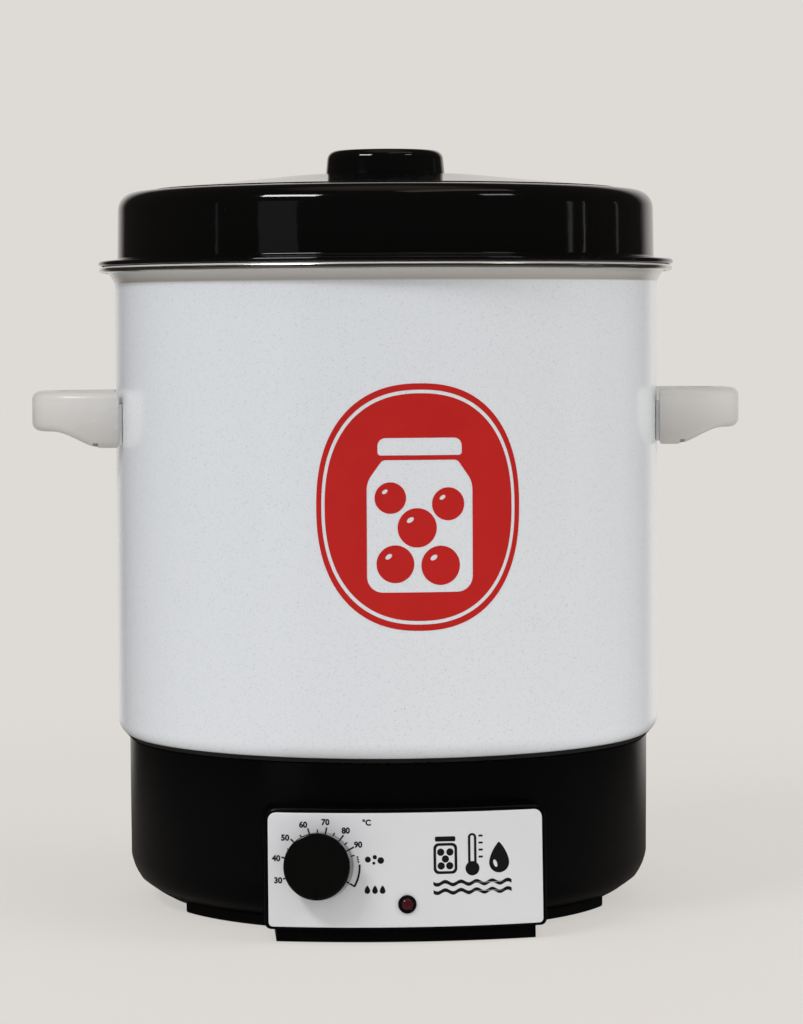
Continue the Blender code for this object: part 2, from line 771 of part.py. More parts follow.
def handle_loop(name, side):
    """Loft a loop handle through sections along a D-shaped path in plan."""
    start = POT_RADIUS - HANDLE_ROOT_DEPTH
    reach = handle_tip - HANDLE_BAR_WIDTH / 2 - start
    power = 2 / HANDLE_CORNER_POWER
    path = []
    for step in range(HANDLE_PATH_STEPS + 1):
        angle = pi * step / HANDLE_PATH_STEPS
        along = -leg_middle * abs(cos(angle)) ** power * (1 if cos(angle) > 0 else -1)
        path.append(Vector((start + reach * sin(angle) ** power, along, 0)))
    geometry = bmesh.new()
    rings = []
    for number, middle in enumerate(path):
        ahead = path[min(number + 1, len(path) - 1)] - path[max(number - 1, 0)]
        if number in (0, len(path) - 1):
            ahead = Vector((1 if number == 0 else -1, 0, 0))
        across = Vector((ahead.y, -ahead.x, 0)).normalized()
        section = handle_section(middle, across, middle.x - POT_RADIUS)
        rings.append([geometry.verts.new((side * dot.x, dot.y, dot.z)) for dot in section])
    for first, second in zip(rings, rings[1:]):
        for number in range(len(first)):
            after = (number + 1) % len(first)
            geometry.faces.new((first[number], first[after], second[after], second[number]))
    geometry.faces.new(rings[0])
    geometry.faces.new(rings[-1])
    bmesh.ops.recalc_face_normals(geometry, faces=geometry.faces)
    return mesh_object(name, geometry, handle_plastic)


def make_handles():
    """Both handles with their brackets and screws."""
    wall = bar("handle_seat_cutter", handle_seat, 0, pot_top, None, sides=ROUND_SIDES)
    for label, side in (("left", -1), ("right", 1)):
        handle = handle_loop(f"handle_{label}", side)
        cut(handle, wall)
        bracket = make_bracket(f"handle_bracket_{label}", side)
        for end, leg in (("front", -1), ("rear", 1)):
            seat_tongue(handle, bracket, f"{label}_{end}", side, leg * leg_middle)


def make_bracket(name, side):
    """The curved strap of a bracket, welded to the pot's wall: a length of a ring."""
    inner = POT_RADIUS + GAP
    outer = inner + BRACKET_METAL
    top = tongue_level + BRACKET_HEIGHT / 2
    low = tongue_level - BRACKET_HEIGHT / 2
    ring = [(inner, top), (outer, top), (outer, low), (inner, low), (inner, top)]
    bracket = turned(name, ring, bracket_steel)
    size = (POT_RADIUS, BRACKET_HALF_WIDTH * 2, BRACKET_HEIGHT * 2)
    length = block(name + "_length", size, None, centre=(side * POT_RADIUS, 0, tongue_level))
    combine(bracket, length, "INTERSECT")
    return bracket


def seat_tongue(handle, bracket, label, side, along):
    """One tongue of a bracket, its pocket in the handle, and its screw from below."""
    start = sqrt(POT_RADIUS**2 - along**2) + BRACKET_METAL
    end = start + TONGUE_REACH
    middle = (side * (start + end) / 2, along, tongue_level)
    tongue = block(
        f"tongue_{label}", (end - start, TONGUE_WIDTH, TONGUE_THICKNESS), None, centre=middle
    )
    pocket_size = (end - start + 2 * GAP, TONGUE_WIDTH + 2 * GAP, TONGUE_THICKNESS + 2 * GAP)
    pocket = block(f"tongue_pocket_{label}", pocket_size, None, centre=middle)
    fuse(bracket, tongue)

    screw_reach = sqrt(POT_RADIUS**2 - along**2) + HANDLE_SCREW_REACH
    foot = handle_top - HANDLE_ROOT_HEIGHT
    seat = foot + HANDLE_SCREW_RECESS
    place = Matrix.Translation((side * screw_reach, along, seat - GAP))
    top = tongue_level + TONGUE_THICKNESS * 2
    recess = bar(
        f"screw_recess_{label}",
        HANDLE_SCREW_HEAD_RADIUS + 2 * GAP,
        foot - seat - OVERRUN,
        0,
        None,
        place=Matrix.Translation((side * screw_reach, along, seat)),
    )
    hole = bar(
        f"screw_hole_{label}",
        HANDLE_SCREW_RADIUS + GAP,
        -GAP,
        top - seat,
        None,
        sides=TINY_SIDES,
        place=Matrix.Translation((side * screw_reach, along, seat)),
    )
    cut(handle, pocket, recess, hole)
    cut(bracket, hole)
    length = top - seat - GAP
    pan_screw(
        f"handle_screw_{label}", HANDLE_SCREW_RADIUS, HANDLE_SCREW_HEAD_RADIUS, length, place=place
    )


def base_outline():
    """Outer side of the base from its top edge down to its foot."""
    low = base_radius - BASE_DRAFT
    points = [(base_radius, BASE_HEIGHT), (low, BASE_LIFT + BASE_CORNER_HEIGHT)]
    for across, up in BASE_CORNER_SHARES:
        points.append((base_foot_radius + BASE_CORNER_WIDTH * across, BASE_LIFT + BASE_CORNER_HEIGHT * up))
    return points


def grown(points, distance):
    """An outline moved outwards along its own normals."""
    moved = []
    for number, point in enumerate(points):
        before = Vector(points[max(number - 1, 0)])
        after = Vector(points[min(number + 1, len(points) - 1)])
        ahead = (after - before).normalized()
        moved.append((point[0] - ahead.y * distance, point[1] + ahead.x * distance))
    return moved


def post_places():
    """Where the feet are screwed to the base."""
    return [(post_place_radius * cos(angle), post_place_radius * sin(angle)) for angle in FOOT_ANGLES]


def make_base():
    """Base shell, gasket, bottom plate and feet."""
    flange_edge = base_foot_radius - BASE_FLANGE_WIDTH
    shell = turned("base_shell", [*base_outline(), (flange_edge, BASE_LIFT)], base_plastic, wall=BASE_WALL)
    for number, (across, along) in enumerate(post_places()):
        place = Matrix.Translation((across, along, 0))
        low = BASE_LIFT + BASE_WALL / 2
        name = f"post_{number + 1}"
        fuse(shell, bar(name, POST_RADIUS, low, low + POST_HEIGHT, None, place=place))
        bore_top = low + POST_HEIGHT - POST_RADIUS / 2
        bore = bar(
            name + "_bore", FOOT_SCREW_RADIUS + GAP, 0, bore_top, None, sides=TINY_SIDES, place=place
        )
        cut(shell, bore)
    cut_front_window(shell)
    make_gasket()
    make_bottom_plate()
    for name, angle in zip(FOOT_NAMES, FOOT_ANGLES):
        make_foot(name, angle)
    return shell


def cut_front_window(shell):
    """Open the base's front wall behind the control housing."""
    half_width = -DIAL_X + THERMOSTAT_WIDTH / 2 + BASE_WINDOW_SIDE_MARGIN
    low = HOUSING_LOW + BASE_WINDOW_MARGIN
    high = HOUSING_HIGH - BASE_WINDOW_MARGIN / 2
    depth = front_reach - sqrt(base_inner**2 - half_width**2) + OVERRUN * 2
    size = (half_width * 2, depth, high - low)
    centre = (0, -front_reach + depth / 2, (low + high) / 2)
    cut(shell, block("front_window", size, None, centre=centre))


def make_gasket():
    """Ring between the base's top edge and the pot's rounded corner."""
    low = BASE_HEIGHT + GAP
    middle = (POT_RADIUS - POT_CORNER_RADIUS, pot_bottom + POT_CORNER_RADIUS)
    near = POT_CORNER_RADIUS + GAP
    inner = base_radius - BASE_WALL
    outer = base_radius + GASKET_OUTER_LIP
    start = -pi / 2 + asin((inner - middle[0]) / near)
    end = -pi / 2 + asin((outer - middle[0]) / near)
    outline = [*arc(middle, near, start, end, GASKET_STEPS), (base_radius, low), (inner, low)]
    turned("base_gasket", [*outline, outline[0]], gasket_rubber)


def make_bottom_plate():
    """Pressed plate that closes the base, dished for the rod's nut, with vent slots."""
    low = plate_top - PLATE_METAL
    slope_end = PLATE_DISH_RADIUS + PLATE_DISH_SLOPE
    hole = ROD_RADIUS + GAP
    dish = low + PLATE_DISH_RISE
    outline = [(plate_radius, low), (slope_end, low), (PLATE_DISH_RADIUS, dish), (hole, dish)]
    plate = turned("bottom_plate", outline, plate_steel, wall=PLATE_METAL, sides=DISC_SIDES)
    start = plate_radius * VENT_START_SHARE
    end = plate_radius * VENT_END_SHARE
    size = (end - start, VENT_WIDTH, OVERRUN * 2)
    for number in range(VENT_COUNT):
        turn = Matrix.Rotation(2 * pi * (number + 1 / 2) / VENT_COUNT, 4, "Z")
        cut(plate, block(f"vent_{number + 1}", size, None, centre=((start + end) / 2, 0, low), place=turn))
    between_sides = Matrix.Rotation(pi / TINY_SIDES, 4, "Z")
    for number, (across, along) in enumerate(post_places()):
        hole = bar(
            f"plate_hole_{number + 1}",
            FOOT_SCREW_RADIUS + GAP,
            low - OVERRUN,
            plate_top + OVERRUN,
            None,
            sides=TINY_SIDES,
            place=Matrix.Translation((across, along, 0)) @ between_sides,
        )
        cut(plate, hole)
    across, along = block_place()
    hole = bar(
        "block_screw_hole",
        BLOCK_SCREW_RADIUS + GAP,
        low - OVERRUN,
        plate_top + OVERRUN,
        None,
        sides=TINY_SIDES,
        place=Matrix.Translation((across, along, 0)),
    )
    cut(plate, hole)


def make_foot(name, angle):
    """One foot: a curved bar under the plate's edge, with a lip outside it."""
    outer = base_foot_radius - FOOT_EDGE_INSET
    inner = outer - FOOT_WIDTH
    start = angle - FOOT_SPAN / 2
    end = angle + FOOT_SPAN / 2
    outline = arc((0, 0), outer, start, end, FOOT_STEPS) + arc((0, 0), inner, end, start, FOOT_STEPS)
    height = BASE_LIFT - GAP
    foot = flat_piece(
        f"foot_{name}", outline, height, foot_rubber, place=Matrix.Translation((0, 0, height / 2))
    )
    seat = plate_top - PLATE_METAL - GAP
    rebate = bar(f"foot_rebate_{name}", plate_radius + GAP, seat, seat + OVERRUN, None, sides=DISC_SIDES)
    at_post = Matrix.Translation((post_place_radius * cos(angle), post_place_radius * sin(angle), 0))
    recess = bar(
        f"foot_recess_{name}",
        FOOT_SCREW_HEAD_RADIUS + GAP,
        -OVERRUN,
        FOOT_SCREW_RECESS,
        None,
        sides=TINY_SIDES,
        place=at_post,
    )
    hole = bar(
        f"foot_hole_{name}",
        FOOT_SCREW_RADIUS + GAP,
        -OVERRUN,
        BASE_LIFT + OVERRUN,
        None,
        sides=TINY_SIDES,
        place=at_post,
    )
    cut(foot, rebate, recess, hole)
    under = at_post @ Matrix.Translation((0, 0, FOOT_SCREW_RECESS - GAP))
    pan_screw(
        f"foot_screw_{name}", FOOT_SCREW_RADIUS, FOOT_SCREW_HEAD_RADIUS, FOOT_SCREW_LENGTH, place=under
    )


def base_envelope():
    """The base's outer form with a gap all round, as a cutter."""
    outline = grown(base_outline(), GAP)
    top = (outline[0][0], BASE_HEIGHT + OVERRUN)
    foot = outline[-1][0] + GAP
    under = [(foot, outline[-1][1]), (foot, -OVERRUN), (0, -OVERRUN)]
    return turned("base_envelope", [(0, top[1]), top, *outline[1:-1], *under], None)


def make_housing(shell):
    """Control housing with its plinth, bosses, recess and holes, and its two screws."""
    front = bent_sheet(
        HOUSING_HALF_WIDTH, HOUSING_LOW, HOUSING_HIGH, HOUSING_LOW_CORNER, HOUSING_TOP_CORNER, 0
    )
    housing = bent_box("control_housing", front, base_plastic)
    add_bevel(housing, HOUSING_EDGE, steps=1)
    hollow = bent_sheet(
        HOUSING_HALF_WIDTH - HOUSING_WALL,
        HOUSING_LOW + HOUSING_WALL,
        HOUSING_HIGH - HOUSING_WALL,
        HOUSING_LOW_CORNER / 2,
        HOUSING_TOP_CORNER - HOUSING_WALL,
        -HOUSING_WALL,
    )
    cut(housing, bent_box("housing_cavity", hollow, None))
    foot = bent_sheet(PLINTH_HALF_WIDTH, 0, HOUSING_LOW + HOUSING_WALL / 2, GAP, GAP, -PLINTH_SETBACK)
    fuse(housing, bent_box("plinth", foot, None))
    envelope = base_envelope()
    level = HOUSING_LOW + (HOUSING_HIGH - HOUSING_LOW) * HOUSING_SCREW_LEVEL_SHARE
    for label, side in (("left", -1), ("right", 1)):
        angle = -pi / 2 + side * boss_angle
        outwards = Matrix.Rotation(angle, 4, "Z") @ Matrix.Rotation(pi / 2, 4, "Y")
        place = Matrix.Translation((0, 0, level)) @ outwards
        near = base_inner - OVERRUN
        fuse(housing, bar(f"housing_boss_{label}", HOUSING_BOSS_RADIUS, near, boss_end, None, place=place))
        hole = bar(
            f"housing_screw_hole_{label}",
            HOUSING_SCREW_RADIUS + GAP,
            near - OVERRUN,
            boss_end - HOUSING_WALL / 2,
            None,
            sides=TINY_SIDES,
            place=place,
        )
        cut(shell, hole)
        inner_face = base_inner * cos(pi / ROUND_SIDES) - GAP
        seated = place @ Matrix.Translation((0, 0, inner_face))
        pan_screw(
            f"housing_screw_{label}",
            HOUSING_SCREW_RADIUS,
            HOUSING_SCREW_HEAD_RADIUS,
            HOUSING_SCREW_LENGTH,
            place=seated,
        )
        cut(housing, envelope, hole)

    recess = bent_sheet(
        PANEL_HALF_WIDTH + GAP,
        PANEL_LOW - GAP,
        PANEL_HIGH + GAP,
        PANEL_LOW_CORNER,
        PANEL_TOP_CORNER,
        panel_proud,
    )
    face_front(recess)
    recess_cutter = mesh_object("panel_recess", recess, None)
    add_wall(recess_cutter, panel_proud + PANEL_RECESS)
    cut(housing, recess_cutter)
    return housing


def face_front(geometry):
    """Turn a sheet's faces so that its widest part faces the viewer."""
    widest = max(geometry.faces, key=lambda face: face.calc_area() * abs(face.normal.y))
    if widest.normal.y > 0:
        bmesh.ops.reverse_faces(geometry, faces=geometry.faces)


def bent_box(name, sheet, finish):
    """A solid whose front is a bent sheet and whose back is flat, inside the base."""
    pushed = bmesh.ops.extrude_face_region(sheet, geom=list(sheet.faces))["geom"]
    for dot in pushed:
        if isinstance(dot, bmesh.types.BMVert):
            dot.co.y = -base_foot_radius * HOUSING_BACK_SHARE
    bmesh.ops.recalc_face_normals(sheet, faces=sheet.faces)
    return mesh_object(name, sheet, finish)


def make_panel(housing):
    """Panel plate, thermostat, dial knob and pilot light."""
    sheet = bent_sheet(
        PANEL_HALF_WIDTH, PANEL_LOW, PANEL_HIGH, PANEL_LOW_CORNER, PANEL_TOP_CORNER, panel_proud
    )
    face_front(sheet)
    panel = mesh_object("panel_plate", sheet, panel_metal)
    add_wall(panel, PANEL_THICKNESS)
    make_thermostat(housing, panel)
    make_pilot(housing, panel)


def thermostat_face():
    """Depth of the thermostat's front behind the housing's curved front."""
    sag = (THERMOSTAT_WIDTH / 2) ** 2 / (2 * HOUSING_ARC_RADIUS)
    return -HOUSING_WALL - sag - GAP


def make_thermostat(housing, panel):
    """Thermostat with its bush and screws, and the knob on its shaft."""
    frame = front_frame(DIAL_X, DIAL_Z)
    face = thermostat_face()
    size = (THERMOSTAT_WIDTH, THERMOSTAT_HEIGHT, THERMOSTAT_DEPTH)
    body = block(
        "thermostat_body",
        size,
        thermostat_case,
        centre=(0, 0, face - THERMOSTAT_DEPTH / 2),
        place=frame,
        edge=THERMOSTAT_EDGE,
    )
    bush_end = panel_proud - GAP
    fuse(body, bar("thermostat_bush", BUSH_RADIUS, face - THERMOSTAT_EDGE, bush_end, None, place=frame))
    shaft_low = face - SHAFT_BORE_DEPTH
    bore = bar("shaft_bore", SHAFT_RADIUS + GAP, shaft_low - GAP, OVERRUN, None, place=frame)
    cut(body, bore)
    opening = bar("bush_opening", BUSH_RADIUS + GAP, face, OVERRUN, None, place=frame)
    cut(housing, opening)
    cut(panel, opening)

    for label, side in (("left", -1), ("right", 1)):
        across = side * THERMOSTAT_SCREW_SPREAD
        spot = front_frame(DIAL_X, DIAL_Z) @ Matrix.Translation((across, 0, 0))
        depth = panel_proud + GAP - THERMOSTAT_SCREW_LENGTH
        hole = bar(
            f"thermostat_screw_hole_{label}",
            THERMOSTAT_SCREW_RADIUS + GAP,
            depth - GAP,
            OVERRUN,
            None,
            sides=TINY_SIDES,
            place=spot,
        )
        cut(body, hole)
        cut(housing, hole)
        cut(panel, hole)
        near = THERMOSTAT_SCREW_SPREAD - THERMOSTAT_SCREW_HEAD_RADIUS
        seat_height = panel_proud + GAP - near**2 / (2 * HOUSING_ARC_RADIUS)
        seat = spot @ Matrix.Translation((0, 0, seat_height)) @ Matrix.Rotation(pi, 4, "X")
        pan_screw(
            f"thermostat_screw_{label}",
            THERMOSTAT_SCREW_RADIUS,
            THERMOSTAT_SCREW_HEAD_RADIUS,
            THERMOSTAT_SCREW_LENGTH,
            place=seat,
        )

    knob_frame = bpy.data.objects.new("thermostat_axis", None)
    part_group.objects.link(knob_frame)
    knob_frame.parent = pot_axis
    knob_frame.matrix_basis = frame
    make_dial_knob(knob_frame, shaft_low)


def make_dial_knob(knob_frame, shaft_low):
    """The turning pieces: knob and shaft, both on the thermostat's axis."""
    low = panel_proud + DIAL_KNOB_LIFT
    top = low + DIAL_KNOB_HEIGHT
    side = DIAL_KNOB_RADIUS - DIAL_KNOB_WALL
    bore = SHAFT_RADIUS + GAP
    bore_top = top - 2 * DIAL_KNOB_WALL
    boss_low = panel_proud + GAP + THERMOSTAT_SCREW_HEAD_RADIUS * PAN_HEAD_SHARE
    outline = rounded(
        [
            (0, top),
            (DIAL_KNOB_RADIUS - DIAL_KNOB_TAPER, top, DIAL_KNOB_EDGE, 2),
            (DIAL_KNOB_RADIUS, low),
            (side, low),
            (side, top - DIAL_KNOB_WALL),
            (DIAL_KNOB_BOSS_RADIUS, top - DIAL_KNOB_WALL),
            (DIAL_KNOB_BOSS_RADIUS, boss_low),
            (bore, boss_low),
            (bore, bore_top),
            (0, bore_top),
        ]
    )
    knob = turned("thermostat_knob", outline, knob_plastic, sides=DISC_SIDES, parent=knob_frame)
    start = DIAL_KNOB_RADIUS * DIAL_GROOVE_START_SHARE
    end = DIAL_KNOB_RADIUS + OVERRUN
    size = (DIAL_GROOVE_WIDTH, end - start, DIAL_GROOVE_DEPTH * 2)
    middle = (0, -(start + end) / 2, top)
    cut(knob, block("knob_groove", size, None, centre=middle, parent=knob_frame))

    shaft = bar(
        "thermostat_shaft", SHAFT_RADIUS, shaft_low, bore_top - GAP, screw_steel, parent=knob_frame
    )
    flat_size = (SHAFT_RADIUS * 2, SHAFT_RADIUS, bore_top - boss_low)
    flat_middle = (0, SHAFT_RADIUS * 3 / 2 - SHAFT_FLAT_DEPTH, bore_top - flat_size[2] / 2 + GAP)
    cut(shaft, block("shaft_flat", flat_size, None, centre=flat_middle, parent=knob_frame))


def make_pilot(housing, panel):
    """Pilot light: a holder through the panel, with a lens in its end."""
    frame = front_frame(PILOT_X, PILOT_Z, panel_proud)
    seat = PILOT_BEZEL_HEIGHT - PILOT_LENS_DEPTH
    recess = PILOT_LENS_RADIUS + GAP
    outline = [
        (0, seat),
        (recess, seat),
        (recess, PILOT_BEZEL_HEIGHT),
        (PILOT_BEZEL_RADIUS - GAP, PILOT_BEZEL_HEIGHT),
        (PILOT_BEZEL_RADIUS, PILOT_BEZEL_HEIGHT - GAP),
        (PILOT_BEZEL_RADIUS, GAP),
        (PILOT_BARREL_RADIUS, GAP),
        (PILOT_BARREL_RADIUS, -PILOT_BARREL_LENGTH),
        (0, -PILOT_BARREL_LENGTH),
    ]
    turned("pilot_holder", outline, knob_plastic, sides=PILOT_SIDES, place=frame)
    shoulder = DOME_SHOULDER_SHARE
    lens = [
        (0, PILOT_BEZEL_HEIGHT + PILOT_LENS_DOME),
        (PILOT_LENS_RADIUS * shoulder, PILOT_BEZEL_HEIGHT + PILOT_LENS_DOME * shoulder),
        (PILOT_LENS_RADIUS, PILOT_BEZEL_HEIGHT),
        (PILOT_LENS_RADIUS, seat + GAP),
        (0, seat + GAP),
    ]
    turned("pilot_lens", lens, lens_red, sides=PILOT_SIDES, place=frame)
    opening = bar(
        "pilot_opening", PILOT_BARREL_RADIUS + GAP, -PILOT_BARREL_LENGTH, OVERRUN, None, place=frame
    )
    cut(housing, opening)
    cut(panel, opening)


def make_heater():
    """Everything that heats: spreader, element, pressure plate, cutout and shield."""
    spreader = [
        (ROD_HEAD_RADIUS + GAP, spreader_top),
        (spreader_radius, spreader_top),
        (spreader_radius, spreader_under),
        (ROD_HEAD_RADIUS + GAP, spreader_under),
        (ROD_HEAD_RADIUS + GAP, spreader_top),
    ]
    turned("heat_spreader", spreader, aluminium, sides=DISC_SIDES)
    tube("heating_element", element_route(), ELEMENT_TUBE_RADIUS, element_steel)

    hole = ROD_RADIUS + GAP
    place = Matrix.Translation((0, element_ring_radius, 0))
    opening = bar(
        "terminal_opening", TERMINAL_OPENING_RADIUS, terminal_end, spreader_under, None, place=place
    )
    plate = turned(
        "pressure_plate",
        [
            (hole, pressure_top),
            (pressure_radius, pressure_top),
            (pressure_radius, pressure_under - PRESSURE_PLATE_RIM),
        ],
        plate_steel,
        wall=PRESSURE_PLATE_METAL,
        sides=DISC_SIDES,
    )
    cut(plate, opening)
    shield = turned(
        "heat_shield",
        [(hole, shield_top), (shield_radius, shield_top), (shield_radius, shield_under - SHIELD_RIM)],
        plate_steel,
        wall=SHIELD_METAL,
        sides=DISC_SIDES,
    )
    cut(shield, opening)

    reach = pressure_radius * CUTOUT_REACH_SHARE
    spot = (reach * cos(CUTOUT_ANGLE), reach * sin(CUTOUT_ANGLE), pressure_under - GAP)
    low_radius = CUTOUT_RADIUS * CUTOUT_WAIST_SHARE
    waist = -CUTOUT_HEIGHT / 2
    outline = [
        (0, 0),
        (CUTOUT_RADIUS, 0),
        (CUTOUT_RADIUS, waist),
        (low_radius, waist),
        (low_radius, -CUTOUT_HEIGHT),
        (0, -CUTOUT_HEIGHT),
    ]
    turned("thermal_cutout", outline, thermostat_case, sides=SMALL_SIDES, place=Matrix.Translation(spot))


def element_route():
    """The element's path: a ring under the spreader with both ends turned down."""
    spread = asin(ELEMENT_END_SPREAD / element_ring_radius)
    bend = ELEMENT_BEND_RADIUS / element_ring_radius
    first = pi / 2 + spread + bend
    last = pi / 2 + 2 * pi - spread - bend
    ring = arc((0, 0), element_ring_radius, first, last, ELEMENT_RING_STEPS)
    route = [Vector((across, along, element_level)) for across, along in ring]
    for side, end in ((-1, first), (1, last)):
        turn_points = []
        for step in (1, 2, 3):
            angle = pi / 2 * step / 3
            swing = end + side * bend * sin(angle)
            drop = ELEMENT_BEND_RADIUS * (1 - cos(angle))
            place = (element_ring_radius * cos(swing), element_ring_radius * sin(swing))
            turn_points.append(Vector((*place, element_level - drop)))
        turn_points.append(Vector((*turn_points[-1].xy, terminal_end)))
        route = [*reversed(turn_points), *route] if side < 0 else [*route, *turn_points]
    return route


def terminal_places():
    """Lower ends of the element: left and right of the middle plane."""
    route = element_route()
    return route[0], route[-1]


def make_rod():
    """Centre rod from the pot's floor to the bottom plate, with its nuts and spacer."""
    low = dish_top - PLATE_METAL - GAP - NUT_HEIGHT - ROD_END_MARGIN
    head_low = spreader_top - ROD_HEAD_THICKNESS
    outline = [
        (0, spreader_top),
        (ROD_HEAD_RADIUS, spreader_top),
        (ROD_HEAD_RADIUS, head_low),
        (ROD_RADIUS, head_low),
        (ROD_RADIUS, low),
        (0, low),
    ]
    turned("centre_rod", outline, screw_steel, sides=SMALL_SIDES)
    hex_nut("clamp_nut", pressure_under - GAP - NUT_HEIGHT)
    hex_nut("shield_nut", shield_top + GAP)
    hex_nut("rod_nut", dish_top - PLATE_METAL - GAP - NUT_HEIGHT)
    inner = ROD_RADIUS + GAP
    outer = inner + SPACER_WALL
    top = shield_under - GAP
    foot = dish_top + GAP
    spacer = [(inner, top), (outer, top), (outer, foot), (inner, foot), (inner, top)]
    turned("spacer_tube", spacer, screw_steel, sides=SMALL_SIDES)


def make_sensor():
    """Sensor bulb under the pot, its clip, and the capillary to the thermostat."""
    level = pot_bottom - GAP - BULB_RADIUS
    along = spreader_radius + BULB_REACH
    lie = Matrix.Translation((0, -along, level)) @ Matrix.Rotation(pi / 2, 4, "Y")
    half = BULB_LENGTH / 2
    outline = rounded(
        [
            (0, half),
            (BULB_RADIUS, half, BULB_RADIUS / 2, 2),
            (BULB_RADIUS, -half, BULB_RADIUS / 2, 2),
            (0, -half),
        ]
    )
    turned("sensor_bulb", outline, copper, sides=TINY_SIDES, place=lie)
    make_clip(along, level)

    start = Vector((-half - GAP, -along, level))
    frame = front_frame(DIAL_X, DIAL_Z)
    back = thermostat_face() - THERMOSTAT_DEPTH
    end = frame @ Vector((0, THERMOSTAT_HEIGHT / 4, back - GAP))
    behind = frame @ Vector((0, THERMOSTAT_HEIGHT / 4, back - BULB_REACH))
    aside = start + Vector((-BULB_REACH / 2, 0, 0))
    drop = Vector((behind.x, aside.y, (aside.z + behind.z) / 2))
    points = [start, aside, drop, behind, end]
    tube("capillary_tube", smooth_route(points), CAPILLARY_RADIUS, copper)


def make_clip(along, level):
    """Clip under the heat spreader that carries the bulb in its bend."""
    inner = BULB_RADIUS + GAP
    outer = inner + CLIP_METAL
    tab_top = spreader_under - GAP
    tab_low = tab_top - CLIP_METAL
    tab_end = spreader_radius - CLIP_TAB
    lift = level - tab_top
    join = pi + asin(lift / inner)
    join_low = pi + asin((level - tab_low) / outer)
    outline = [(tab_end, tab_low), (tab_end, tab_top)]
    outline += arc((along, level), inner, join, 2 * pi, CLIP_STEPS)
    outline += arc((along, level), outer, 2 * pi, join_low, CLIP_STEPS)
    upright = Matrix.Rotation(-pi / 2, 4, "Z") @ Matrix.Rotation(pi / 2, 4, "X")
    flat_piece("bulb_clip", outline, CLIP_WIDTH, plate_steel, place=upright)


def block_place():
    """Where the terminal block stands on the bottom plate."""
    across, along = BLOCK_PLACE_SHARES
    return base_inner * across, base_inner * along


def make_electrics(shell):
    """Terminal block with its screw, the wires, and the gland for the cord."""
    across, along = block_place()
    low = plate_top + GAP
    place = Matrix.Translation((across, along, 0))
    size = (BLOCK_WIDTH, BLOCK_DEPTH, BLOCK_HEIGHT)
    centre = (0, 0, low + BLOCK_HEIGHT / 2)
    terminal = block("terminal_block", size, thermostat_case, centre=centre, place=place, edge=BLOCK_EDGE)
    bore = bar(
        "terminal_screw_bore",
        BLOCK_SCREW_RADIUS + GAP,
        low - OVERRUN,
        low + BLOCK_HEIGHT + OVERRUN,
        None,
        sides=TINY_SIDES,
        place=place,
    )
    cut(terminal, bore)
    top = low + BLOCK_HEIGHT + GAP
    length = top - (plate_top - PLATE_METAL)
    upside_down = place @ Matrix.Translation((0, 0, top)) @ Matrix.Rotation(pi, 4, "X")
    pan_screw(
        "terminal_block_screw", BLOCK_SCREW_RADIUS, BLOCK_SCREW_HEAD_RADIUS, length, place=upside_down
    )
    make_wires(across, along, low)
    make_gland(shell)


def make_wires(across, along, low):
    """Four insulated wires between terminal block, thermostat, heater and pilot light."""
    frame = front_frame(DIAL_X, DIAL_Z)
    back = thermostat_face() - THERMOSTAT_DEPTH
    lead = BASE_HEIGHT * WIRE_LEAD_SHARE
    third = THERMOSTAT_WIDTH / 3

    block_face = Vector((across, along - BLOCK_DEPTH / 2 - GAP, low + BLOCK_HEIGHT / 2))
    spade = frame @ Vector((third, 0, back - GAP))
    behind_spade = frame @ Vector((third, 0, back - lead))
    ahead_of_block = block_face - Vector((0, lead, 0))
    via = [shares_to_place(shares) for shares in WIRE_SUPPLY_SHARES]
    route = [block_face, ahead_of_block, *via, behind_spade, spade]
    tube("wire_supply", smooth_route(route), WIRE_RADIUS, wire_insulation)

    left_end, right_end = terminal_places()
    drop = Vector((0, 0, lead / 2))
    spade = frame @ Vector((-third, 0, back - GAP))
    behind_spade = frame @ Vector((-third, 0, back - lead))
    via = [shares_to_place(shares) for shares in WIRE_HEATER_SHARES]
    end = left_end - Vector((0, 0, GAP))
    route = [spade, behind_spade, *via, end - drop, end]
    tube("wire_heater", smooth_route(route), WIRE_RADIUS, wire_insulation)

    block_top = Vector((across - BLOCK_WIDTH / 3, along, low + BLOCK_HEIGHT + GAP))
    via = [shares_to_place(shares) for shares in WIRE_RETURN_SHARES]
    end = right_end - Vector((0, 0, GAP))
    route = [block_top, block_top + drop, *via, end - drop, end]
    tube("wire_return", smooth_route(route), WIRE_RADIUS, wire_insulation)

    pilot_frame = front_frame(PILOT_X, PILOT_Z, panel_proud)
    start = pilot_frame @ Vector((0, 0, -PILOT_BARREL_LENGTH - GAP))
    behind = pilot_frame @ Vector((0, 0, -PILOT_BARREL_LENGTH - lead))
    side = frame @ Vector((THERMOSTAT_WIDTH / 2 + GAP, 0, back + THERMOSTAT_DEPTH / 3))
    beside = frame @ Vector((THERMOSTAT_WIDTH / 2 + lead / 2, 0, back + THERMOSTAT_DEPTH / 3))
    tube("wire_pilot", smooth_route([start, behind, beside, side]), WIRE_RADIUS, wire_insulation)


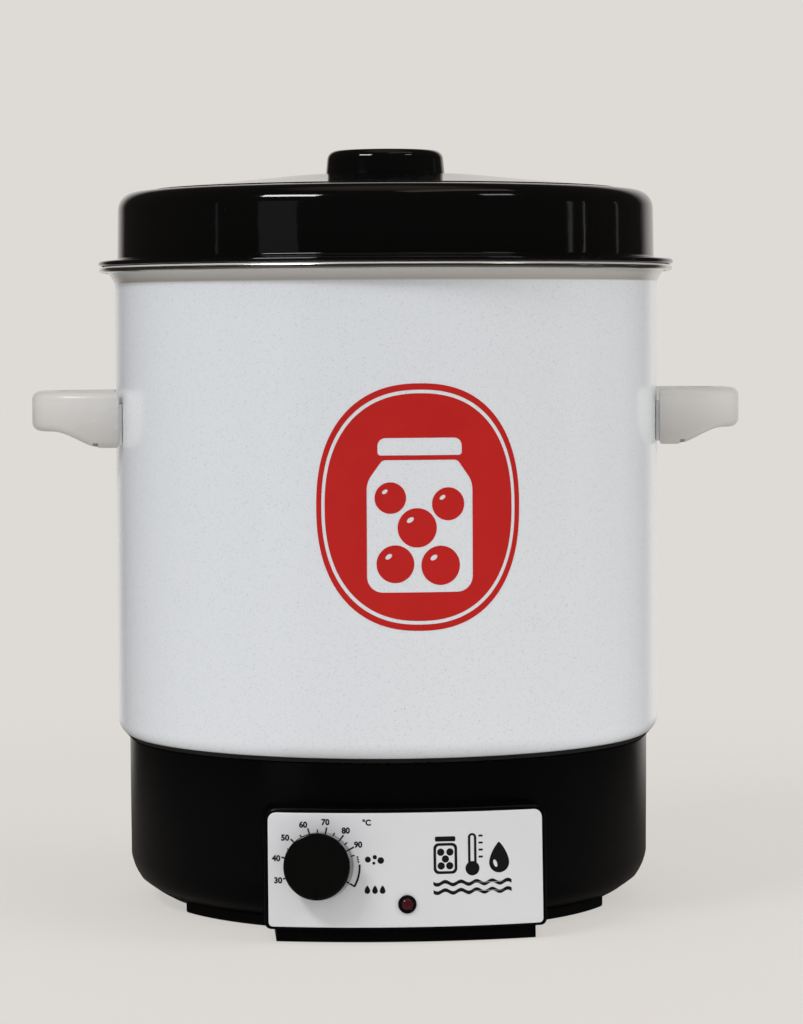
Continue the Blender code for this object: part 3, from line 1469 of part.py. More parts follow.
def make_gland(shell):
    """Gland in the base's rear wall: a bush with a flange outside and a collar inside."""
    level = BASE_HEIGHT * GLAND_LEVEL_SHARE
    outwards = Matrix.Translation((0, 0, level)) @ Matrix.Rotation(-pi / 2, 4, "X")
    face = base_radius + GAP
    inner_face = base_inner * cos(pi / ROUND_SIDES) - GAP - GLAND_SEAT_DROP
    outline = rounded(
        [
            (GLAND_BORE_RADIUS, face + GLAND_FLANGE_THICKNESS),
            (GLAND_FLANGE_RADIUS, face + GLAND_FLANGE_THICKNESS, GLAND_FLANGE_THICKNESS / 3, 1),
            (GLAND_FLANGE_RADIUS, face),
            (GLAND_BODY_RADIUS, face),
            (GLAND_BODY_RADIUS, inner_face),
            (GLAND_COLLAR_RADIUS, inner_face),
            (GLAND_COLLAR_RADIUS, inner_face - GLAND_COLLAR_THICKNESS),
            (GLAND_BORE_RADIUS, inner_face - GLAND_COLLAR_THICKNESS),
        ],
        closed=True,
    )
    turned("cord_gland", outline, knob_plastic, sides=SMALL_SIDES, place=outwards)
    hole = bar(
        "gland_hole", GLAND_BODY_RADIUS + GAP, inner_face - OVERRUN, face + OVERRUN, None, place=outwards
    )
    cut(shell, hole)


def knob_reach():
    """How far the dial knob's face stands in front of the pot's axis."""
    frame = front_frame(DIAL_X, DIAL_Z)
    lift = panel_proud + DIAL_KNOB_LIFT + DIAL_KNOB_HEIGHT
    face = frame @ Vector((0, 0, lift))
    tilt = sqrt(1 - frame.col[2].y ** 2)
    return -face.y + DIAL_KNOB_RADIUS * tilt


clear_scene()
part_group = new_collection("water_bath_canner")
cutter_group = new_collection("cutters")

enamel_white = new_material("white speckled enamel", (0.78, 0.79, 0.80), 0.25)
enamel_black = new_material("black enamel", (0.01, 0.01, 0.011), 0.08)
rim_steel = new_material("bright rim steel", (0.72, 0.70, 0.68), 0.18, 1.0)
knob_plastic = new_material("black gloss plastic", (0.012, 0.012, 0.013), 0.22)
handle_plastic = new_material("pale grey plastic", (0.62, 0.61, 0.59), 0.4)
bracket_steel = new_material("pale painted steel", (0.70, 0.70, 0.69), 0.4)
base_plastic = new_material("black base plastic", (0.014, 0.014, 0.015), 0.38)
gasket_rubber = new_material("gasket rubber", (0.01, 0.01, 0.01), 0.7)
foot_rubber = new_material("foot rubber", (0.012, 0.012, 0.012), 0.8)
panel_metal = new_material("silver panel", (0.66, 0.65, 0.66), 0.42)
lens_red = new_material("dark red lens", (0.12, 0.015, 0.02), 0.15)
screw_steel = new_material("screw steel", (0.60, 0.60, 0.60), 0.3, 1.0)
plate_steel = new_material("zinc plated sheet", (0.58, 0.58, 0.57), 0.45, 1.0)
rack_steel = new_material("rack steel", (0.66, 0.66, 0.66), 0.3, 1.0)
aluminium = new_material("cast aluminium", (0.70, 0.70, 0.70), 0.5, 1.0)
element_steel = new_material("heater sheath", (0.30, 0.28, 0.27), 0.5, 1.0)
thermostat_case = new_material("ivory moulding", (0.60, 0.56, 0.48), 0.5)
copper = new_material("copper", (0.72, 0.40, 0.28), 0.35, 1.0)
wire_insulation = new_material("wire insulation", (0.55, 0.10, 0.08), 0.5)

pot_axis = bpy.data.objects.new("pot_axis", None)
part_group.objects.link(pot_axis)
brim_reach = curl_centre_radius + LID_CURL_RADIUS
pot_axis.location = (0, (knob_reach() - brim_reach) / 2, 0)

make_pot()
make_lid()
make_rack()
make_handles()
base = make_base()
front_box = make_housing(base)
make_panel(front_box)
make_heater()
make_rod()
make_sensor()
make_electrics(base)
bpy.context.view_layer.update()
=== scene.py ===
"""Looks of the water bath canner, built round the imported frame.

Lengths are metres, and the pot's axis is the origin of every outline below.
"""
from math import acos, asin, cos, pi, radians, sin, sqrt, tan

import bmesh
import bpy
import numpy as np
from mathutils import Matrix, Vector


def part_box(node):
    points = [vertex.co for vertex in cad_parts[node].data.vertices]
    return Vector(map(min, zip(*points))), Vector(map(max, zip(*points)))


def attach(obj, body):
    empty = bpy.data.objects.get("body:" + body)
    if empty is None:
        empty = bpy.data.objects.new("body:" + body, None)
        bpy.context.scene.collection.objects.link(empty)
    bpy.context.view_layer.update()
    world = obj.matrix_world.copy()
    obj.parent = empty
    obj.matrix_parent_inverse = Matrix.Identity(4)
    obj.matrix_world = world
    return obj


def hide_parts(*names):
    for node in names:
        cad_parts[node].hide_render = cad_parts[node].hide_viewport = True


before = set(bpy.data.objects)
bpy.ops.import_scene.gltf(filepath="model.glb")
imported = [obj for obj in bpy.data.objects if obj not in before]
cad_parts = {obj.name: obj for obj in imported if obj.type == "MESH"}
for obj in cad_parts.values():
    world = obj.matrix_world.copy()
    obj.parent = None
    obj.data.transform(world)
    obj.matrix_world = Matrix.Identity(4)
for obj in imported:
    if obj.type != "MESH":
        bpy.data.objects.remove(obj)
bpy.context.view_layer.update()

POT_LOW, POT_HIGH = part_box("pot_shell")
AXIS_Y = (POT_LOW.y + POT_HIGH.y) / 2
SIDES = 128
GAP = 0.0003
ON_AXIS = 1e-9

# The pot, its rim and the rack. Each ring of holes is a share of the rack's radius and a count
POT_RADIUS = 0.176
POT_METAL = 0.0012
POT_FLOOR = 0.1075
POT_CORNER = 0.011
POT_TOP = 0.4095
FLANGE_LOW = POT_TOP - POT_METAL
FLANGE_TIP = 0.18445
NECK_LOW = 0.4001
NECK_REACH = 0.005
BAND_METAL = 0.00125
BAND_START = FLANGE_TIP - 0.0028
BAND_END = POT_RADIUS + 0.006 + GAP
BEAD_MIDDLE = (0.18385, 0.4089)
BEAD_RADIUS = 0.00215
RACK_RADIUS = 0.160
RACK_LOW = 0.1090
RACK_TOP = 0.1225
RACK_METAL = 0.0014
RACK_MIDDLE_HOLE = 0.013
RACK_HOLE = 0.0105
RACK_HOLE_RINGS = ((0.36, 6), (0.72, 12))
RACK_NOTCH = (0.02, 0.016, 0.010)
RACK_NOTCH_COUNT = 6

# The lid and its knob
LID_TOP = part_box("lid_shell")[1].z
LID_SHOULDER = 0.45788
LID_BRIM = 0.4155
LID_WALL_RADII = (0.1735, 0.1742)
LID_METAL = 0.0009
CROWN_FLAT = 0.060
CURL_MIDDLE = (0.1850, 0.41278)
CURL_RADIUS = 0.0016
KNOB_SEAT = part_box("lid_knob")[0].z
KNOB_HEIGHT = 0.016
KNOB_RADII = (0.0372, 0.0387)
KNOB_HOLLOW = 0.0337
KNOB_HOLLOW_TOP = 0.012
KNOB_BOSS = 0.008
KNOB_BORE = 0.0019
KNOB_BORE_TOP = 0.011
WASHER_RADIUS = 0.009
WASHER_METAL = 0.001

# The handles and their brackets. The swell is its start and length, an end ring its way out and inset
SEAT_RADIUS = 0.1786
HANDLE_TOP = 0.331
HANDLE_MIDDLE = 0.164
HANDLE_REACH = 0.0575
HANDLE_HALF_LENGTH = 0.034
HANDLE_POWER = 2 / 3.4
HANDLE_START = 0.1806
HANDLE_WIDTHS = (0.021, 0.017)
HANDLE_DEPTHS = (0.036, 0.0256)
HANDLE_EDGE = 0.0055
HANDLE_TAPER = 0.038
HANDLE_SWELL = (0.008, 0.030)
HANDLE_ENDS = {"front": -0.034, "rear": 0.034}
HANDLE_END_RINGS = ((0.0, 0.0012), (0.00025, 0.00055), (0.0007, 0.00015), (0.0013, 0.0))
HANDLE_SCREW_PLACE = (0.1852, 0.3005)
SCREW_RECESS = 0.0043
NOTCH_PLACE = (0.1885, 0.2960)
NOTCH_SIZE = (0.0034, 0.016, 0.0042)
LUG_RADII = (0.1763, 0.1783)
LUG_LEVELS = (0.2971, 0.3231)
LUG_HALF_TURN = asin(0.041 / 0.178)
TONGUE_START = 0.1775
TONGUE_END = 0.1993
TONGUE_MIDDLE = 0.31012

# The base and its feet
BASE_SIDES = 144
BASE_TOP_RADIUS = 0.1687
BASE_MIDDLE_RADIUS = 0.16864
BASE_SIDE_RADIUS = 0.1684
BASE_FOOT_RADIUS = 0.1354
BASE_TOP = 0.106
BASE_LEVELS = (0.079, 0.040)
BASE_LOW = 0.007
BASE_WALL = 0.0025
BASE_CORNER = (0.018, 0.023)
CORNER_SHARES = (
    (1.0, 1.0), (0.97, 0.88), (0.89, 0.68), (0.79, 0.52), (0.67, 0.37), (0.49, 0.26), (0.31, 0.16),
    (0.15, 0.07), (0.0, 0.0),
)
GASKET_RADII = (0.1662, 0.1713)
PLATE_RADIUS = 0.1459
PLATE_LEVEL = 0.0056
PLATE_RAISED = 0.0126
PLATE_METAL = 0.0011
PLATE_DISH = (0.042, 0.030)
PLATE_ROD_HOLE = 0.0043
PLATE_SLOT_ENDS = (0.108, 0.0613)
PLATE_SLOT_EVERY = 24
PLATE_SLOT_COLUMNS = (11, 12)
FOOT_ANGLES = {"front_left": -135, "front_right": -45, "rear_right": 45, "rear_left": 135}
FOOT_RADII = (0.1364, 0.1489)
FOOT_HALF_TURN = radians(19)
FOOT_EVEN = 0.93
FOOT_ROUND_OFF = 0.0012
FOOT_TOP = 0.0067
FOOT_STEP = (0.1463, 0.0053)
FOOT_SCREW_PLACE = (0.1411, 0.0029)
FOOT_RECESS = 0.0036
GLAND_HEIGHT = 0.04664
GLAND_BORE = 0.0042
GLAND_NECK = 0.0065
GLAND_FLANGE = 0.010
GLAND_LIP = 0.0085
GLAND_LIP_ENDS = (0.1653, 0.1631)

# Each screw's shank radius, head radius and length
KNOB_SCREW = (0.0016, 0.0032, 0.0125)
HANDLE_SCREW = (0.0018, 0.0036, 0.0125)
FOOT_SCREW = (0.0015, 0.0033, 0.017)

# The control front. Corners are the radii of the low and the high ones
FRONT_REACH = 0.191
FRONT_RADIUS = 0.330
FRONT_LEAN = radians(7)
HOUSING_HALF_WIDTH = 0.086
HOUSING_LOW = 0.0075
HOUSING_HIGH = 0.0802
HOUSING_WALL = 0.003
HOUSING_CORNERS = (0.004, 0.0075)
HOUSING_EDGE = 0.0014
PLINTH_HALF_WIDTH = 0.079
PLINTH_HIGH = HOUSING_LOW + 0.0015
PLINTH_INSET = 0.003
PLINTH_WALL = 0.0025
PLINTH_CORNERS = (0.0004, 0.0004)
PLINTH_EDGE = 0.0003
WINDOW_LOW = 0.016
WINDOW_HIGH = 0.0757
WINDOW_HALF_COLUMNS = 10
PANEL_HALF_WIDTH = 0.0836
PANEL_LOW = 0.0093
PANEL_HIGH = 0.0777
PANEL_METAL = 0.0008
PANEL_PROUD = 0.0006
PANEL_DEPTH = 0.0013
PANEL_CORNERS = (0.0025, 0.005)
PANEL_EDGE = 0.0006

# The dial and the pilot light. A boss, bore, cup, collar, shank or cap is its radius and its height
DIAL = (-0.0525, 0.046)
DIAL_HOLE = (0.0135, 0.0065)
DIAL_KNOB_RADIUS = 0.0208
DIAL_KNOB_HEIGHT = 0.0169
DIAL_KNOB_WALL = 0.002
DIAL_KNOB_LOW = 0.0014
DIAL_BOSS = (0.0055, 0.0027)
DIAL_BORE = (0.0033, 0.0129)
PILOT = (0.0, 0.023)
PILOT_HOLE = (0.0036, 0.0036)
PILOT_CUP = (0.0039, -0.0038)
PILOT_COLLAR = (0.0056, 0.0012)
PILOT_SHANK = (0.0034, -0.016)
PILOT_CAP = (0.0036, -0.0035)

# The prints
PRINT_GAP = 0.00003
DECAL_LAYER = 0.00006
INK_LAYER = 0.00004
MOTIF_PLACE = (0.0100, 0.2625)
MOTIF_SIZE = 0.955
MOTIF_HALF_WIDTH = 0.07

# Angles on the dial in degrees: each figure's tick and the figure itself, the half ticks and the dots
SCALE = {
    "30": (200.0, 199.5), "40": (167.8, 170.6), "50": (137.5, 140.9), "60": (107.4, 111.5),
    "70": (79.3, 82.0), "80": (52.0, 53.4), "90": (29.1, 29.0),
}
HALF_TICKS = (184.6, 152.6, 122.4, 93.3, 65.6, 40.5, 17.4)
DOT_ANGLES = (13.5, 10.0, 6.5)

# Marks on the dial: a tick is its outer end and width, the last stage's arc a radius, width and angles
TICK_START = 0.0205
TICK = (0.0236, 0.00095)
HALF_TICK = (0.0220, 0.0008)
STAGE_ARC = (0.0240, 0.0012, 2.5, -30.6)
STAGE_TICK = (-30.0, 0.0243, 0.0010)
DOT_PLACE = 0.0234
DOT_RADIUS = 0.0006
FIGURE_PLACE = 0.0266
FIGURE_SIZE = 0.0049
UNIT = ("°C", 0.0048, (0.0285, 0.0262))

# The frame's own pieces that stay, by finish
INNER_PIECES = {
    "screw_steel": (
        "thermostat_screw_left", "thermostat_screw_right", "thermostat_shaft", "housing_screw_left",
        "housing_screw_right", "centre_rod", "clamp_nut", "shield_nut", "rod_nut", "spacer_tube",
        "terminal_block_screw",
    ),
    "zinc_plated_sheet": ("pressure_plate", "heat_shield", "bulb_clip"),
    "ivory_moulding": ("thermostat_body", "thermal_cutout", "terminal_block"),
    "copper": ("sensor_bulb", "capillary_tube"),
    "wire_insulation": ("wire_supply", "wire_heater", "wire_return", "wire_pilot"),
    "cast_aluminium": ("heat_spreader",),
    "heater_sheath": ("heating_element",),
}

# The studio and the camera
BACKDROP = (0.7305, 0.701, 0.665)
ROOM = (1.0, 0.85, 0.71)
EVEN_LIGHT = (0.70, 0.70, 0.705)
LIGHT_LEVEL = 0.62
ROOM_LEVEL = 0.032
CEILING_LEVEL = 0.35
AWAY = (0.139, 0.990, 0)
BACKDROP_BLEND = (0.80, 0.95)
CEILING_BLEND = (0.88, 1.0)
ROOM_BLEND = (0.75, 0.85)
MIDDLE = Vector((0, AXIS_Y, 0.24))
FLOOR_LEVEL = -0.0004
FLOOR_REACH = 4.0
CAMERA_DISTANCE = 2.3455
CAMERA_AZIMUTH = radians(-3.3)
CAMERA_HEIGHT = 0.375
CAMERA_LENS = 126.35
CAMERA_PAN = radians(-0.23)
CAMERA_TILT = radians(90 - 3.04)
CAMERA_ROLL = radians(-0.3)


# Shapes

def rounded(corners, steps=6, shut=False, support=0.0):
    """An outline whose corners (a, b, radius) become arcs that touch both sides.

    With support, a point stands that far before and after each arc.
    """
    spots = [np.array(corner[:2], float) for corner in corners]
    radii = [corner[2] if len(corner) > 2 else 0.0 for corner in corners]
    count = len(corners)
    outline = []
    for number, (spot, radius) in enumerate(zip(spots, radii)):
        if radius == 0 or (not shut and number in (0, count - 1)):
            outline.append(spot)
            continue
        last, following = (number - 1) % count, (number + 1) % count
        back, ahead = spots[last] - spot, spots[following] - spot
        back_length, ahead_length = np.linalg.norm(back), np.linalg.norm(ahead)
        back, ahead = back / back_length, ahead / ahead_length
        half = acos(np.clip(back @ ahead, -1, 1)) / 2
        room = min(back_length * (0.5 if radii[last] else 1), ahead_length * (0.5 if radii[following] else 1))
        reach = min(radius / tan(half), room * 0.96)
        middle = spot + (back + ahead) / np.linalg.norm(back + ahead) * reach / cos(half)
        first, second = spot + back * reach - middle, spot + ahead * reach - middle
        turn = pi - 2 * half
        if support:
            outline.append(spot + back * min(reach + support, back_length * 0.98))
        for step in range(steps + 1):
            part = turn * step / steps
            outline.append(middle + (first * sin(turn - part) + second * sin(part)) / sin(turn))
        if support:
            outline.append(spot + ahead * min(reach + support, ahead_length * 0.98))
    return outline


def arc(middle, radius, start, end, steps):
    """Points on a circle: p(t) = middle + radius (cos t, sin t)."""
    turns = np.linspace(start, end, steps + 1)
    return list(np.array(middle) + radius * np.column_stack([np.cos(turns), np.sin(turns)]))


def rectangle(middle, width, height, radius, steps=6):
    """Loop of a rounded rectangle."""
    (x, y), w, h = middle, width / 2, height / 2
    corners = [(x - w, y - h, radius), (x + w, y - h, radius), (x + w, y + h, radius), (x - w, y + h, radius)]
    return np.array(rounded(corners, steps, shut=True))


def signed_power(value, power):
    """|value|^power with the sign of value."""
    return np.abs(value) ** power * np.sign(value)


def set_in(outline, wall):
    """An outline moved to the right of its own direction by wall, with mitred corners."""
    spots = np.array(outline)
    steps = np.diff(spots, axis=0)
    steps /= np.linalg.norm(steps, axis=1)[:, None]
    right = np.column_stack([steps[:, 1], -steps[:, 0]])
    before, after = np.vstack([right[:1], right]), np.vstack([right, right[-1:]])
    mitre = (before + after) / np.maximum(1 + (before * after).sum(1), 0.4)[:, None]
    on_axis = spots[:, 0] < ON_AXIS
    mitre[on_axis] = np.column_stack([np.zeros(on_axis.sum()), np.sign(mitre[on_axis, 1])])
    return spots + mitre * wall


def quads(rows, columns, shut_rows=False, shut_columns=False):
    """Four-cornered faces of a grid of rows by columns, numbered row by row."""
    down = np.arange(rows if shut_rows else rows - 1)
    across = np.arange(columns if shut_columns else columns - 1)
    row, column = np.meshgrid(down, across, indexing="ij")
    here, below, beside = row * columns, (row + 1) % rows * columns, (column + 1) % columns
    corners = [here + column, here + beside, below + beside, below + column]
    return np.stack(corners, -1).reshape(-1, 4)


def round_grid(outline, sides, start=0.0):
    """Points of an outline (r, h) turned round its axis: p(i, j) = (r_i cos a_j, r_i sin a_j, h_i)."""
    turns = start + 2 * pi * np.arange(sides) / sides
    radius, height = np.array(outline).T
    level = [np.outer(radius, np.cos(turns)), np.outer(radius, np.sin(turns))]
    return np.stack([*level, np.outer(height, np.ones(sides))], -1)


def at(x, y, z):
    """The frame (turn, origin) of an unturned piece with its origin at a spot."""
    return np.eye(3), np.array([x, y, z], float)


def shown(name, mesh, crease):
    """A mesh as an object of the scene, smooth but for edges sharper than crease degrees."""
    mesh.shade_smooth()
    mesh.set_sharp_from_angle(angle=radians(crease))
    made = bpy.data.objects.new(name, mesh)
    bpy.context.scene.collection.objects.link(made)
    return made


def piece(name, spots, faces, place=None, crease=36):
    """An object from points in the pot's frame, or in the frame (turn, origin) where place is given."""
    turn, origin = place or at(0, 0, 0)
    spots = np.asarray(spots).reshape(-1, 3) @ turn.T + origin + (0, AXIS_Y, 0)
    mesh = bpy.data.meshes.new(name)
    mesh.from_pydata(spots.tolist(), [], [list(map(int, face)) for face in faces])
    work = bmesh.new()
    work.from_mesh(mesh)
    bmesh.ops.remove_doubles(work, verts=work.verts, dist=1e-7)
    bmesh.ops.recalc_face_normals(work, faces=work.faces)
    work.to_mesh(mesh)
    work.free()
    return shown(name, mesh, crease)


def joined(name, parts):
    """Several pieces as one object."""
    work = bmesh.new()
    for part in parts:
        work.from_mesh(part.data)
    mesh = bpy.data.meshes.new(name)
    work.to_mesh(mesh)
    work.free()
    for part in parts:
        bpy.data.objects.remove(part)
    return shown(name, mesh, 36)


def turned(name, outline, place=None, wall=0.0, sides=SIDES):
    """An outline turned round its axis. With a wall it comes back that far inside."""
    outline = np.array(outline)
    if wall:
        outline = np.vstack([outline, set_in(outline, wall)[::-1]])
    shut = outline[0, 0] > ON_AXIS or outline[-1, 0] > ON_AXIS
    faces = quads(len(outline), sides, shut_rows=bool(shut), shut_columns=True)
    on_axis = outline[faces // sides, 0] < ON_AXIS
    return piece(name, round_grid(outline, sides), faces[~on_axis.all(1)], place)


def two_sided(name, outer, inner, cells):
    """A skin and its inner copy, joined by a strip along every open edge."""
    count = len(outer)
    edges = np.concatenate([cells[:, [k, (k + 1) % 4]] for k in range(4)])
    _, index, times = np.unique(np.sort(edges, 1), axis=0, return_index=True, return_counts=True)
    rim = edges[index[times == 1]]
    strips = np.column_stack([rim[:, 1], rim[:, 0], rim[:, 0] + count, rim[:, 1] + count])
    return piece(name, np.concatenate([outer, inner]), np.vstack([cells, cells[:, ::-1] + count, strips]))


def walled(name, spots, wall, keep):
    """A grid p(i, j), shut round its columns, with a wall on its inner side: q = p - wall n, n its normal.

    Cells outside keep stay open.
    """
    across = np.roll(spots, -1, 1) - np.roll(spots, 1, 1)
    normal = np.cross(across, np.gradient(spots, axis=0))
    normal /= np.maximum(np.linalg.norm(normal, axis=2), 1e-12)[..., None]
    cells = quads(*spots.shape[:2], shut_columns=True)[keep.reshape(-1)]
    return two_sided(name, spots.reshape(-1, 3), (spots - normal * wall).reshape(-1, 3), cells)


def lofted(name, rings, place=None, crease=36):
    """Closed rings of points joined in order, with a cap at both ends."""
    rings = np.asarray(rings)
    rows, columns = rings.shape[:2]
    faces = [list(face) for face in quads(rows, columns, shut_columns=True)]
    faces += [list(range(columns)), list(range((rows - 1) * columns, rows * columns))]
    return piece(name, rings, faces, place, crease)


def carved(body, *tools):
    """Take the tools' volume away from a piece, for good, and remove the tools."""
    for tool in tools:
        modifier = body.modifiers.new("carve", "BOOLEAN")
        modifier.object = tool
        modifier.operation = "DIFFERENCE"
        modifier.solver = "EXACT"
    bpy.context.view_layer.update()
    seen = body.evaluated_get(bpy.context.evaluated_depsgraph_get())
    mesh = bpy.data.meshes.new_from_object(seen)
    body.modifiers.clear()
    old, body.data = body.data, mesh
    bpy.data.meshes.remove(old)
    for tool in tools:
        bpy.data.objects.remove(tool)
    mesh.shade_smooth()
    mesh.set_sharp_from_angle(angle=radians(30))
    return body


def peg(radius, low, high, place, sides=32):
    """A short round cutter."""
    return turned("cutter", [(0, high), (radius, high), (radius, low), (0, low)], place, sides=sides)


def brick(size, middle, place=None, round_off=0.0):
    """A block with rounded upright edges, as one loft of two rounded rectangles."""
    flat = rectangle(middle[:2], size[0], size[1], round_off, 4)
    levels = (middle[2] - size[2] / 2, middle[2] + size[2] / 2)
    return lofted("block", [np.column_stack([flat, np.full(len(flat), level)]) for level in levels], place)


def add_screw(node_name, place, shank, head, length, body="canner"):
    """A pan head screw with a cross recess. Its head's seat is at height 0 and its shank points up."""
    depth = head * 0.6
    point = [(0, length), (shank, length, shank * 0.4), (shank, 0)]
    cap = [(head, 0, head * 0.08), (head * 0.86, -depth, head * 0.5), (0, -depth)]
    screw = turned(f"{node_name}_cross", rounded([*point, *cap], 6), place, sides=40)
    long, short = head * 1.1, head * 0.22
    cross = [
        brick((long, short, depth), (0, 0, -depth), place),
        brick((short, long, depth), (0, 0, -depth * 1.001), place),
    ]
    dress(carved(screw, *cross), "screw_steel", node_name, body=body)


# Finishes

def node(tree, kind, **values):
    """A node with its settings and links. A key is i and a socket's number, or a name with _ for a space."""
    made = tree.nodes.new("ShaderNode" + kind)
    for key, value in values.items():
        socket = int(key[1:]) if key[1:].isdigit() else key.replace("_", " ")
        if isinstance(value, bpy.types.NodeSocket):
            tree.links.new(value, made.inputs[socket])
        elif isinstance(socket, int) or socket in made.inputs:
            made.inputs[socket].default_value = value
        else:
            setattr(made, key, value)
    return made


def maths(tree, operation, *values):
    """The result of a Math node. Each value is a number or an output."""
    sockets = {f"i{number}": value for number, value in enumerate(values)}
    return node(tree, "Math", operation=operation, **sockets).outputs[0]


def ramp(tree, value, start, end, low=0.0, high=1.0, way="LINEAR"):
    """A value taken from start..end to low..high, and kept within them."""
    limits = {"From_Min": start, "From_Max": end, "To_Min": low, "To_Max": high}
    return node(tree, "MapRange", interpolation_type=way, Value=value, **limits).outputs["Result"]


def blend(tree, mask, under, over):
    """A colour that turns from under into over where mask is 1. Each is a colour or an output."""
    under, over = ((*colour, 1) if isinstance(colour, tuple) else colour for colour in (under, over))
    return node(tree, "Mix", data_type="RGBA", i0=mask, i6=under, i7=over).outputs[2]


def node_group(name, result, **settings):
    """A node group that reads Vector and number settings. Returns its tree, inputs and result's socket."""
    tree = bpy.data.node_groups.new(name, "ShaderNodeTree")
    tree.interface.new_socket("Vector", in_out="INPUT", socket_type="NodeSocketVector")
    for label, value in settings.items():
        socket = tree.interface.new_socket(label, in_out="INPUT", socket_type="NodeSocketFloat")
        socket.default_value = value
    tree.interface.new_socket(result, in_out="OUTPUT", socket_type="NodeSocketFloat")
    return tree, tree.nodes.new("NodeGroupInput").outputs, tree.nodes.new("NodeGroupOutput").inputs[result]


def noise(tree, given, detail, scale=None, vector=None, roughness=0.5):
    """The value of a noise texture, read at the group's own vector and scale unless they are given."""
    vector, scale = vector or given["Vector"], scale or given["Scale"]
    made = node(tree, "TexNoise", Detail=detail, Roughness=roughness, Vector=vector, Scale=scale)
    return made.outputs["Fac"]


def speck_group():
    """Small round specks: each Voronoi cell has a dot of its own chance size, and most cells stay bare."""
    tree, given, result = node_group("enamel_specks", "Mask", Density=400.0, Size=0.3)
    cells = node(tree, "TexVoronoi", feature="F1", Vector=given["Vector"], Scale=given["Density"])
    tone = node(tree, "SeparateColor", Color=cells.outputs["Color"])
    size = maths(tree, "MULTIPLY", maths(tree, "POWER", tone.outputs["Red"], 2.2), given["Size"])
    dot = ramp(tree, maths(tree, "DIVIDE", cells.outputs["Distance"], size), 1.25, 0.7)
    tree.links.new(maths(tree, "MULTIPLY", dot, tone.outputs["Green"]), result)
    return tree


def flow_group():
    """Orange peel of a fired or sprayed coat: two scales of soft noise as one height."""
    tree, given, result = node_group("coat_flow", "Height", Scale=90.0)
    broad = noise(tree, given, 1.0)
    fine = noise(tree, given, 0.0, maths(tree, "MULTIPLY", given["Scale"], 4.3))
    tree.links.new(maths(tree, "MULTIPLY_ADD", fine, 0.22, broad), result)
    return tree


def spun_group():
    """Fine marks that run round the upright axis, as on rolled metal: noise read over (radius, height)."""
    tree, given, result = node_group("spun_marks", "Value", Scale=900.0)
    parts = node(tree, "SeparateXYZ", i0=given["Vector"]).outputs
    flat = node(tree, "CombineXYZ", i0=parts["X"], i1=parts["Y"]).outputs[0]
    radius = node(tree, "VectorMath", operation="LENGTH", i0=flat).outputs["Value"]
    place = node(tree, "CombineXYZ", i0=radius, i1=parts["Z"]).outputs[0]
    tree.links.new(noise(tree, given, 2.0, vector=place), result)
    return tree


def grain_group():
    """The fine etched grain of a moulding, as a height."""
    tree, given, result = node_group("moulding_grain", "Height", Scale=1500.0)
    tree.links.new(noise(tree, given, 2.0, roughness=0.65), result)
    return tree


def handled_group():
    """Where a surface has been touched, wiped or has gathered dust: broad cloudy patches from 0 to 1."""
    tree, given, result = node_group("handled_patches", "Value", Scale=14.0)
    tree.links.new(ramp(tree, noise(tree, given, 4.0, roughness=0.6), 0.35, 0.68), result)
    return tree


SPECKS, FLOW, SPUN, GRAIN, HANDLED = speck_group(), flow_group(), spun_group(), grain_group(), handled_group()


class Finish:
    """One material: its shader, and the few steps that every finish here is made of."""

    def __init__(self, name, base, roughness, metallic=0.0, **values):
        self.name = name
        self.material = bpy.data.materials.new(name)
        self.material.use_nodes = True
        self.material.diffuse_color = (*base, 1)
        self.tree = self.material.node_tree
        self.shader = self.tree.nodes["Principled BSDF"]
        settings = {"Base Color": (*base, 1), "Roughness": roughness, "Metallic": metallic}
        for key, value in {**settings, **values}.items():
            self.shader.inputs[key.replace("_", " ")].default_value = value
        self.base = base
        self.place = node(self.tree, "TexCoord").outputs["Object"]

    def shared(self, group, **values):
        """The output of a shared node group, read at the object's own coordinates."""
        made = self.tree.nodes.new("ShaderNodeGroup")
        made.node_tree = group
        self.tree.links.new(self.place, made.inputs["Vector"])
        for key, value in values.items():
            made.inputs[key].default_value = value
        return made.outputs[0]

    def height(self):
        """How high up each spot of the surface is."""
        return node(self.tree, "SeparateXYZ", i0=self.place).outputs["Z"]

    def span(self, value, low, high, start=0.0, end=1.0):
        """A value taken from start..end to low..high."""
        return ramp(self.tree, value, start, end, low, high)

    def tint(self, mask, colour, under=None):
        """The base colour, or under, turning into colour where mask is 1."""
        return blend(self.tree, mask, self.base if under is None else under, colour)

    def mottled(self, group, share, colour, under=None, **values):
        """The base colour, or under, with up to that share of colour where a shared group's pattern is."""
        return self.tint(self.span(self.shared(group, **values), 0.0, share), colour, under)

    def feed(self, socket, output):
        """Link a value or colour to one of the shader's sockets."""
        self.tree.links.new(output, self.shader.inputs[socket])

    def sheen(self, value, low, high):
        """Let the roughness follow a value, from low to high."""
        self.feed("Roughness", self.span(value, low, high))

    def relief(self, height, distance):
        """Small relief, as a bump of that depth in metres. It ends a finish."""
        bump = node(self.tree, "Bump", Strength=1.0, Distance=distance, Height=height)
        self.feed("Normal", bump.outputs["Normal"])
        return self


